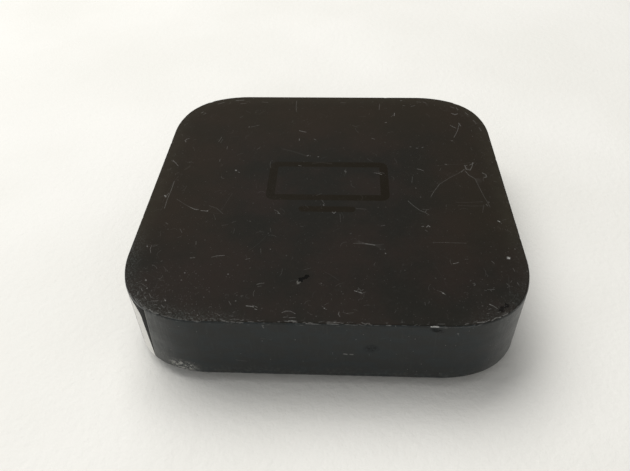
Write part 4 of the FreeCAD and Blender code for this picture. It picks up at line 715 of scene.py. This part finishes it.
rows = [(2.0, 3.4), (1.0, 3.4), (0.34, 3.40), (0.20, 3.44), (0.09, 3.53), (0.02, 3.66), (0.0, 3.82)]
rows += [(0.0, z) for z in (4.6, 6.0, 8.0, 10.5, 13.0, 15.5, 18.0, 20.0, 21.2, 21.9, 22.25)]
rows += [(EDGE_R * (1 - math.cos(a)), 23 - EDGE_R + EDGE_R * math.sin(a)) for a in (math.pi / 2 * i / 9 for i in range(10))]
rows += [(o, 23.0) for o in (0.64, 0.74, 0.86, 1.0, 1.2)]
n_outer = len(rows)
inner = [(5.0, 21.0), (2.5, 21.0), (2.15, 20.94), (2.03, 20.8), (2.0, 20.6), (2.0, 12.0), (2.0, 7.0)]
rows += inner
verts, wear_and_highlight = [], []
for off, z in rows:
    p = PTS - NRM * off
    zz = np.full(NCOL, z)
    w = np.zeros(NCOL)
    if z > 21.5 and off < 1.9:                                     # near the top edge: knock it back along its diagonal
        reach = math.hypot(off, 23.0 - z)
        fall = max(0.0, 1 - reach / 1.15) ** 1.3
        k = depth * fall * 1.25
        p = p - NRM * (k * 0.72)[:, None]
        zz = zz - k * 0.78
    if z > 21.5 and off < 2.1:
        s = off - EDGE_R + S_TOP if z >= 23 else (z - (23 - EDGE_R) if off <= 0 else EDGE_R * math.asin((z - (23 - EDGE_R)) / EDGE_R))
        w = edge_wear_and_highlight(s)
    verts.append(np.column_stack([p, zz]))
    wear_and_highlight.append(w)
verts = np.concatenate(verts)
wear_and_highlight = np.concatenate(wear_and_highlight)
nrow = len(rows)


def inlay():
    """Triangles of the flat top, with each scratch and speck let in as a sliver that is palest along its middle."""
    ring = (n_outer - 1) * NCOL
    edge = verts[ring:ring + NCOL, :2]
    marks = [(np.array(p, float), w, k) for p, w, k in MARKS]

    def weight(x, y):
        r = max(abs(x), abs(y))
        return 0.30 + 0.45 * np.clip((r - 34) / 12, 0, 1) + 1.5 * np.clip(1 - math.hypot(x + 40, y + 41) / 12, 0, 1) + 0.9 * np.clip(1 - math.hypot(x - 38, y + 43) / 9, 0, 1) + 0.35 * np.clip((-y - 30) / 18, 0, 1)

    def spot(top):
        while True:
            x, y = rng.uniform(-48, 48, 2)
            if rng.uniform(0, top) < weight(x, y):
                return x, y, min(1.0, weight(x, y))

    for _ in range(230):                                           # short curved hairs
        x, y, q = spot(1.6)
        a, ln, bend = rng.uniform(0, math.pi), rng.uniform(0.5, 2.6) * (1.25 - 0.45 * q), rng.normal(0, 0.5)
        p = [np.array([x, y])]
        for _ in range(3):
            p.append(p[-1] + np.array([math.cos(a), math.sin(a)]) * ln / 3)
            a += bend
        marks.append((np.array(p), rng.uniform(0.05, 0.085), 0.78 * (rng.uniform(0.04, 0.14) + 0.12 * q * rng.uniform(0, 1) ** 2)))
    for _ in range(12):                                            # long faint ones
        x, y, q = spot(1.2)
        a, ln, bend = rng.uniform(0, math.pi), rng.uniform(4, 13), rng.normal(0, 0.05)
        p = [np.array([x, y])]
        for _ in range(4):
            p.append(p[-1] + np.array([math.cos(a), math.sin(a)]) * ln / 4)
            a += bend
        marks.append((np.array(p), rng.uniform(0.05, 0.08), 0.55 * rng.uniform(0.05, 0.10)))
    for _ in range(340):                                           # specks
        x, y, q = spot(1.6)
        a, ln = rng.uniform(0, math.pi), rng.uniform(0.02, 0.16)
        marks.append((np.array([[x, y], [x + ln * math.cos(a), y + ln * math.sin(a)]]), rng.uniform(0.06, 0.12), 0.82 * (rng.uniform(0.05, 0.18) + 0.22 * q * rng.uniform(0, 1) ** 3)))

    pts, edges, kept = [tuple(p) for p in edge], [], []
    ex, ey = edge[:, 0], edge[:, 1]
    nx, ny = np.roll(ex, -1), np.roll(ey, -1)
    for p, w, k in marks:
        near = np.hypot(ex[None, :] - p[:, 0:1], ey[None, :] - p[:, 1:2]).min(1)
        cross = ((ey[None] > p[:, 1:2]) != (ny[None] > p[:, 1:2])) & (p[:, 0:1] < (nx - ex)[None] * (p[:, 1:2] - ey[None]) / np.where(ny == ey, 1e-9, ny - ey)[None] + ex[None])
        p = p[(near > w + 0.15) & (cross.sum(1) % 2 == 1)]
        if len(p) < 2:
            continue
        d = np.gradient(p, axis=0)
        d /= np.linalg.norm(d, axis=1)[:, None] + 1e-9
        n = np.column_stack([-d[:, 1], d[:, 0]])
        line = [p[0] - d[0] * w] + list(p) + [p[-1] + d[-1] * w]
        loop = [line[0]] + list(p + n * w) + [line[-1]] + list(p - n * w)[::-1]
        b = len(pts)
        pts += [tuple(q) for q in loop]
        edges += [(b + i, b + (i + 1) % len(loop)) for i in range(len(loop))]
        c = len(pts)
        pts += [tuple(q) for q in p]
        chain = [b] + list(range(c, c + len(p))) + [b + 1 + len(p)]
        edges += list(zip(chain[:-1], chain[1:]))
        kept.append((p, w, k))
    out, _, tris, orig, _, _ = mathutils.geometry.delaunay_2d_cdt([Vector(p) for p in pts], edges, [list(range(NCOL))], 1, 1e-5)
    xy = np.array([tuple(v) for v in out])
    w_out = np.zeros(len(xy))
    for p, w, k in kept:
        for a, b in zip(p[:-1], p[1:]):
            ab = b - a
            t = np.clip(((xy - a) @ ab) / (ab @ ab + 1e-12), 0, 1)
            dist = np.linalg.norm(xy - a - t[:, None] * ab, axis=1)
            w_out = np.maximum(w_out, np.clip(1 - dist / w, 0, 1) * k)
    index, extra = {}, []
    for i, src in enumerate(orig):
        first = [q for q in src if q < NCOL]
        if first:
            index[i] = ring + first[0]
        else:
            index[i] = len(verts) + len(extra)
            extra.append((xy[i, 0], xy[i, 1], 23.0, w_out[i]))
    fs = []
    for t in tris:
        a, b, c = (xy[q] for q in t)
        up = (b[0] - a[0]) * (c[1] - a[1]) - (b[1] - a[1]) * (c[0] - a[0]) > 0
        fs.append([index[q] for q in (t if up else t[::-1])])
    return np.array(extra), fs


cap_extra, cap_faces = inlay()
verts = np.concatenate([verts, cap_extra[:, :3]]) * MM
wear_and_highlight = np.concatenate([wear_and_highlight, cap_extra[:, 3]])
faces, mats = [], []
for j in range(nrow):
    a0, b0 = j * NCOL, ((j + 1) % nrow) * NCOL
    if j == n_outer - 1:                                           # the roof's two faces close as flat polygons
        faces += cap_faces
        mats += [1] * len(cap_faces)
        faces.append([b0 + i for i in reversed(range(NCOL))])
        mats.append(0)
        continue
    for i in range(NCOL):
        k = (i + 1) % NCOL
        faces.append([a0 + i, a0 + k, b0 + k, b0 + i])
        mats.append(1 if 18 + 5 <= j < n_outer else 0)             # the finishes meet halfway round the edge's rounding
me = bpy.data.meshes.new("top_case_shell")
me.from_pydata(verts.tolist(), [], faces)
at = me.attributes.new("wear_and_highlight", "FLOAT", "POINT")
at.data.foreach_set("value", wear_and_highlight.astype(np.float32))
me.materials.append(CASE_SIDE)
me.materials.append(CASE_TOP)
me.polygons.foreach_set("material_index", mats)
case = bpy.data.objects.new("top_case_shell", me)
bpy.context.scene.collection.objects.link(case)


# ---- rear apertures
def prism_y(points, y0, y1, grow_out=0.0):
    """Closed prism along Y through (x, z) points; the outer end can be larger."""
    n = len(points)
    cx = sum(p[0] for p in points) / n
    cz = sum(p[1] for p in points) / n
    v, f = [], []
    for y, gr in ((y0, 0.0), (y1, grow_out)):
        for px, pz in points:
            dx, dz = px - cx, pz - cz
            m = math.hypot(dx, dz)
            v.append(((px + dx / m * gr) * MM, y * MM, (pz + dz / m * gr) * MM))
    f.append(list(range(n)))
    f.append(list(reversed(range(n, 2 * n))))
    for i in range(n):
        k = (i + 1) % n
        f.append([i, i + n, k + n, k])
    m = bpy.data.meshes.new("cutter")
    m.from_pydata(v, [], f)
    bm = bmesh.new()
    bm.from_mesh(m)
    bmesh.ops.recalc_face_normals(bm, faces=bm.faces)
    bm.to_mesh(m)
    bm.free()
    return m


def rect_points(x0, x1, z0, z1, r=0.25, n=4):
    out = []
    for cx, cz, a0 in ((x1 - r, z1 - r, 0), (x0 + r, z1 - r, 90), (x0 + r, z0 + r, 180), (x1 - r, z0 + r, 270)):
        for i in range(n + 1):
            a = math.radians(a0 + 90 * i / n)
            out.append((cx + r * math.cos(a), cz + r * math.sin(a)))
    return out


def stadium_points(cx, cz, half, r, n=20):
    out = []
    for s, a0 in ((1, -90), (-1, 90)):
        for i in range(n + 1):
            a = math.radians(a0 + 180 * i / n)
            out.append((cx + s * half + r * math.cos(a), cz + r * math.sin(a)))
    return out


def keyed_points(cx, z0, z1, w, n, k):
    return [(cx - n, z0), (cx + n, z0), (cx + w, k), (cx + w, z1), (cx - w, z1), (cx - w, k)]


def rounded_poly(points, r, n=4):
    """Each corner of a convex polygon replaced by a small curve."""
    out, m = [], len(points)
    for i in range(m):
        a, b, c = (Vector(points[(i + k) % m]) for k in (-1, 0, 1))
        u, v = (a - b).normalized(), (c - b).normalized()
        p, q = b + u * r, b + v * r
        for j in range(n + 1):
            t = j / n
            out.append(tuple(p * (1 - t) ** 2 + b * 2 * t * (1 - t) + q * t ** 2))
    return out


APERTURES = [
    stadium_points(24.5, 12.6, 4.3, 4.75 + 0.15),
    rounded_poly(keyed_points(6.0, 12.7, 18.6, 7.7, 5.844, 15.52), 0.35),
    rounded_poly(keyed_points(6.0, 8.3, 11.8, 4.4, 3.25, 9.75), 0.3),
    rect_points(-9.2 - 5.0, -9.2 + 5.0, 12.3 - 5.25, 12.3 + 5.25, 0.3),
    rect_points(-25 - 8.15, -25 + 8.15, 5.45, 19.15, 0.3),
]
bm = bmesh.new()
for pts in APERTURES:
    bm.from_mesh(prism_y(pts, 44.0, 50.0))
tmp = bpy.data.meshes.new("cutters")
bm.to_mesh(tmp)
bm.free()
cutter = bpy.data.objects.new("cutters", tmp)
bpy.context.scene.collection.objects.link(cutter)
mod = case.modifiers.new("cut", "BOOLEAN")
mod.operation, mod.object, mod.solver = "DIFFERENCE", cutter, "EXACT"
dg = bpy.context.evaluated_depsgraph_get()
cut_mesh = bpy.data.meshes.new_from_object(case.evaluated_get(dg), preserve_all_data_layers=True, depsgraph=dg)
case.modifiers.clear()
case.data = cut_mesh
bpy.data.objects.remove(cutter)


# ---- posts inside the roof, as closed shells standing in it
def tube_mesh(bm, x, y, z0, z1, ro, ri, hole_top, n=40):
    """A post with a blind hole from below."""
    rings = [(ro, z1), (ro, z0 + 0.2), (ro - 0.2, z0), (ri + 0.15, z0), (ri, z0 + 0.2), (ri, hole_top), (0.01, hole_top)]
    grid = [[bm.verts.new(((x + r * math.cos(2 * math.pi * i / n)) * MM, (y + r * math.sin(2 * math.pi * i / n)) * MM, z * MM)) for i in range(n)] for r, z in rings]
    for a, b in zip(grid, grid[1:]):
        for i in range(n):
            k = (i + 1) % n
            bm.faces.new([a[i], b[i], b[k], a[k]])
    bm.faces.new(list(reversed(grid[-1])))
    bm.faces.new(grid[0])


bm = bmesh.new()
bm.from_mesh(case.data)
before = len(bm.faces)
for px, py in [(-38.0, 24.0), (9.5, 24.0), (-38.0, -30.0), (4.0, -31.0)]:
    tube_mesh(bm, px, py, 12.8, 21.2, 2.75, 1.0, 18.2)
for px, py in [(39.5, 33.0), (38.5, -26.5)]:
    tube_mesh(bm, px, py, 7.4, 21.2, 2.6, 1.0, 16.4)
bm.to_mesh(case.data)
bm.free()

for poly in case.data.polygons:
    poly.use_smooth = True
bm = bmesh.new()
bm.from_mesh(case.data)
for e in bm.edges:                                                 # creases: rims of the apertures and the flat polygons
    if len(e.link_faces) == 2 and e.calc_face_angle(0.0) > math.radians(24):
        e.smooth = False
bm.to_mesh(case.data)
bm.free()
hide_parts("top_case")
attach(case, "player")

# =============================================================== materials for the CAD nodes
MATS = {
    "base_black": plastic("base_black", (0.0135, 0.0135, 0.014), 0.48, grain=5.0, depth=0.02, spec=0.4, dust=0.5),
    "pad_rubber": rubber("pad_rubber", (0.022, 0.022, 0.022)),
    "board_green": board("board_green", (0.012, 0.055, 0.030), (0.020, 0.095, 0.050, 1)),
    "board_brown": board("board_brown", (0.24, 0.15, 0.055), (0.34, 0.24, 0.10, 1), 0.45),
    "package_black": plastic("package_black", (0.018, 0.018, 0.019), 0.52, grain=9.0, depth=0.015),
    "gap_pad": plastic("gap_pad", (0.36, 0.46, 0.54), 0.75, grain=3.0, depth=0.02, spec=0.3),
    "tin_can": metal("tin_can", (0.74, 0.74, 0.72), 0.26, "x"),
    "lead_metal": metal("lead_metal", (0.78, 0.78, 0.76), 0.24, None),
    "ceramic_tan": plastic("ceramic_tan", (0.42, 0.32, 0.21), 0.4, grain=8.0, depth=0.004, var=0.3),
    "sink_aluminium": metal("sink_aluminium", (0.70, 0.71, 0.72), 0.42, "y", depth=0.012, tarnish=0.25),
    "screw_steel": metal("screw_steel", (0.56, 0.56, 0.57), 0.32, None),
    "lens_dark": plastic("lens_dark", (0.03, 0.008, 0.02), 0.10, grain=3.0, depth=0.002, smudge=0.05, coat=0.6),
    "led_clear": clear("led_clear", (0.93, 0.93, 0.88)),
    "light_clear": clear("light_clear", (0.92, 0.94, 0.96), 0.14),
    "connector_white": plastic("connector_white", (0.72, 0.70, 0.62), 0.5, var=0.06),
    "ribbon": plastic("ribbon", (0.60, 0.63, 0.66), 0.22, grain=2.0, depth=0.003, coat=0.4),
    "antenna_copper": metal("antenna_copper", (0.78, 0.45, 0.22), 0.34, "x"),
    "coax_black": wire("coax_black", (0.02, 0.02, 0.02)),
    "gold_contact": gold("gold_contact"),
    "socket_black": plastic("socket_black", (0.013, 0.013, 0.0135), 0.46, grain=8.0, depth=0.014, dust=0.3),
    "insulator_amber": plastic("insulator_amber", (0.42, 0.21, 0.035), 0.28, grain=2.5, depth=0.004, coat=0.3),
    "shutter_black": plastic("shutter_black", (0.016, 0.016, 0.0165), 0.34, grain=7.0, depth=0.010, dust=0.25),
    "spring_steel": metal("spring_steel", (0.68, 0.68, 0.68), 0.22, None),
    "pin_nickel": metal("pin_nickel", (0.82, 0.80, 0.75), 0.16, "y", depth=0.004, tarnish=0.2),
    "can_sleeve": plastic("can_sleeve", (0.014, 0.020, 0.060), 0.26, grain=1.5, depth=0.004, coat=0.4),
    "fuse_brown": plastic("fuse_brown", (0.07, 0.028, 0.014), 0.45),
    "ferrite": ferrite("ferrite", (0.040, 0.040, 0.044)),
    "winding_copper": winding("winding_copper", (0.52, 0.22, 0.05), 0.40, "z"),
    "tape_yellow": winding("tape_yellow", (0.72, 0.52, 0.05), 2.9, "z"),
    "film_box": plastic("film_box", (0.60, 0.45, 0.05), 0.42, var=0.05),
    "plug_white": plastic("plug_white", (0.74, 0.73, 0.68), 0.46, var=0.06),
    "wire_red": wire("wire_red", (0.40, 0.018, 0.018)),
}
slot_of = {s["node"]: s["material_slot"] for s in frame["record"]["subparts"]}
for name, ob in NODES.items():
    if name == "top_case":
        continue
    ob.data.materials.clear()
    ob.data.materials.append(MATS[slot_of[name]])

# =============================================================== floor, light, camera
bm = bmesh.new()
size, n = 2.4, 24
grid = [[bm.verts.new((-size / 2 + size * i / n, -size / 2 + size * j / n + 0.4, 0.0)) for i in range(n + 1)] for j in range(n + 1)]
for j in range(n):
    for i in range(n):
        bm.faces.new([grid[j][i], grid[j][i + 1], grid[j + 1][i + 1], grid[j + 1][i]])
fm = bpy.data.meshes.new("floor")
bm.to_mesh(fm)
bm.free()
floor = bpy.data.objects.new("floor", fm)
bpy.context.scene.collection.objects.link(floor)
g = G("floor_pale")
soft = g.noise(0.012, 3, 0.5)
pebble = g.noise(0.45, 3, 0.6)
fm.materials.append(g.set(color=g.mix(soft.smooth(0.3, 0.7), (0.70, 0.70, 0.675, 1), (0.74, 0.74, 0.72, 1)), rough=0.62, normal=g.bump(pebble, 0.25 * MM), spec=0.3))

world = bpy.data.worlds.new("studio")
bpy.context.scene.world = world
world.use_nodes = True
bg = world.node_tree.nodes["Background"]
bg.inputs[0].default_value = (1.0, 0.985, 0.96, 1)
bg.inputs[1].default_value = 0.42


def area(name, loc, target, size_x, size_y, power, colour=(1, 1, 1)):
    l = bpy.data.lights.new(name, "AREA")
    l.shape, l.size, l.size_y, l.energy, l.color = "RECTANGLE", size_x, size_y, power, colour
    o = bpy.data.objects.new(name, l)
    o.location = loc
    o.rotation_euler = (Vector(target) - Vector(loc)).to_track_quat("-Z", "Y").to_euler()
    bpy.context.scene.collection.objects.link(o)


area("overhead", (-0.38, 0.46, 1.17), (0, 0, 0), 1.25, 0.9, 18.0, (1.0, 0.98, 0.945))
area("side_fill", (-1.1, -0.3, 0.8), (0, 0, 0), 0.9, 0.9, 1.5, (0.95, 0.98, 1.0))
area("front_fill", (0.1, -1.2, 0.34), (0, 0, 0), 1.4, 0.5, 1.7, (1.0, 0.985, 0.93))

cam_data = bpy.data.cameras.new("camera")
cam_data.sensor_width = 36.0
cam_data.lens = 34.40
cam_data.clip_start = 0.005
cam = bpy.data.objects.new("camera", cam_data)
cam.matrix_world = Matrix.Translation((0.003951, -0.132839, 0.126873)) @ Matrix.Rotation(0.0586, 4, "Z") @ Matrix.Rotation(0.8259, 4, "X") @ Matrix.Rotation(-0.0252, 4, "Z") @ Matrix.Rotation(0.00073, 4, "Y")
bpy.context.scene.collection.objects.link(cam)
bpy.context.scene.camera = cam
bpy.context.scene.view_settings.view_transform = "Standard"

bpy.context.view_layer.update()
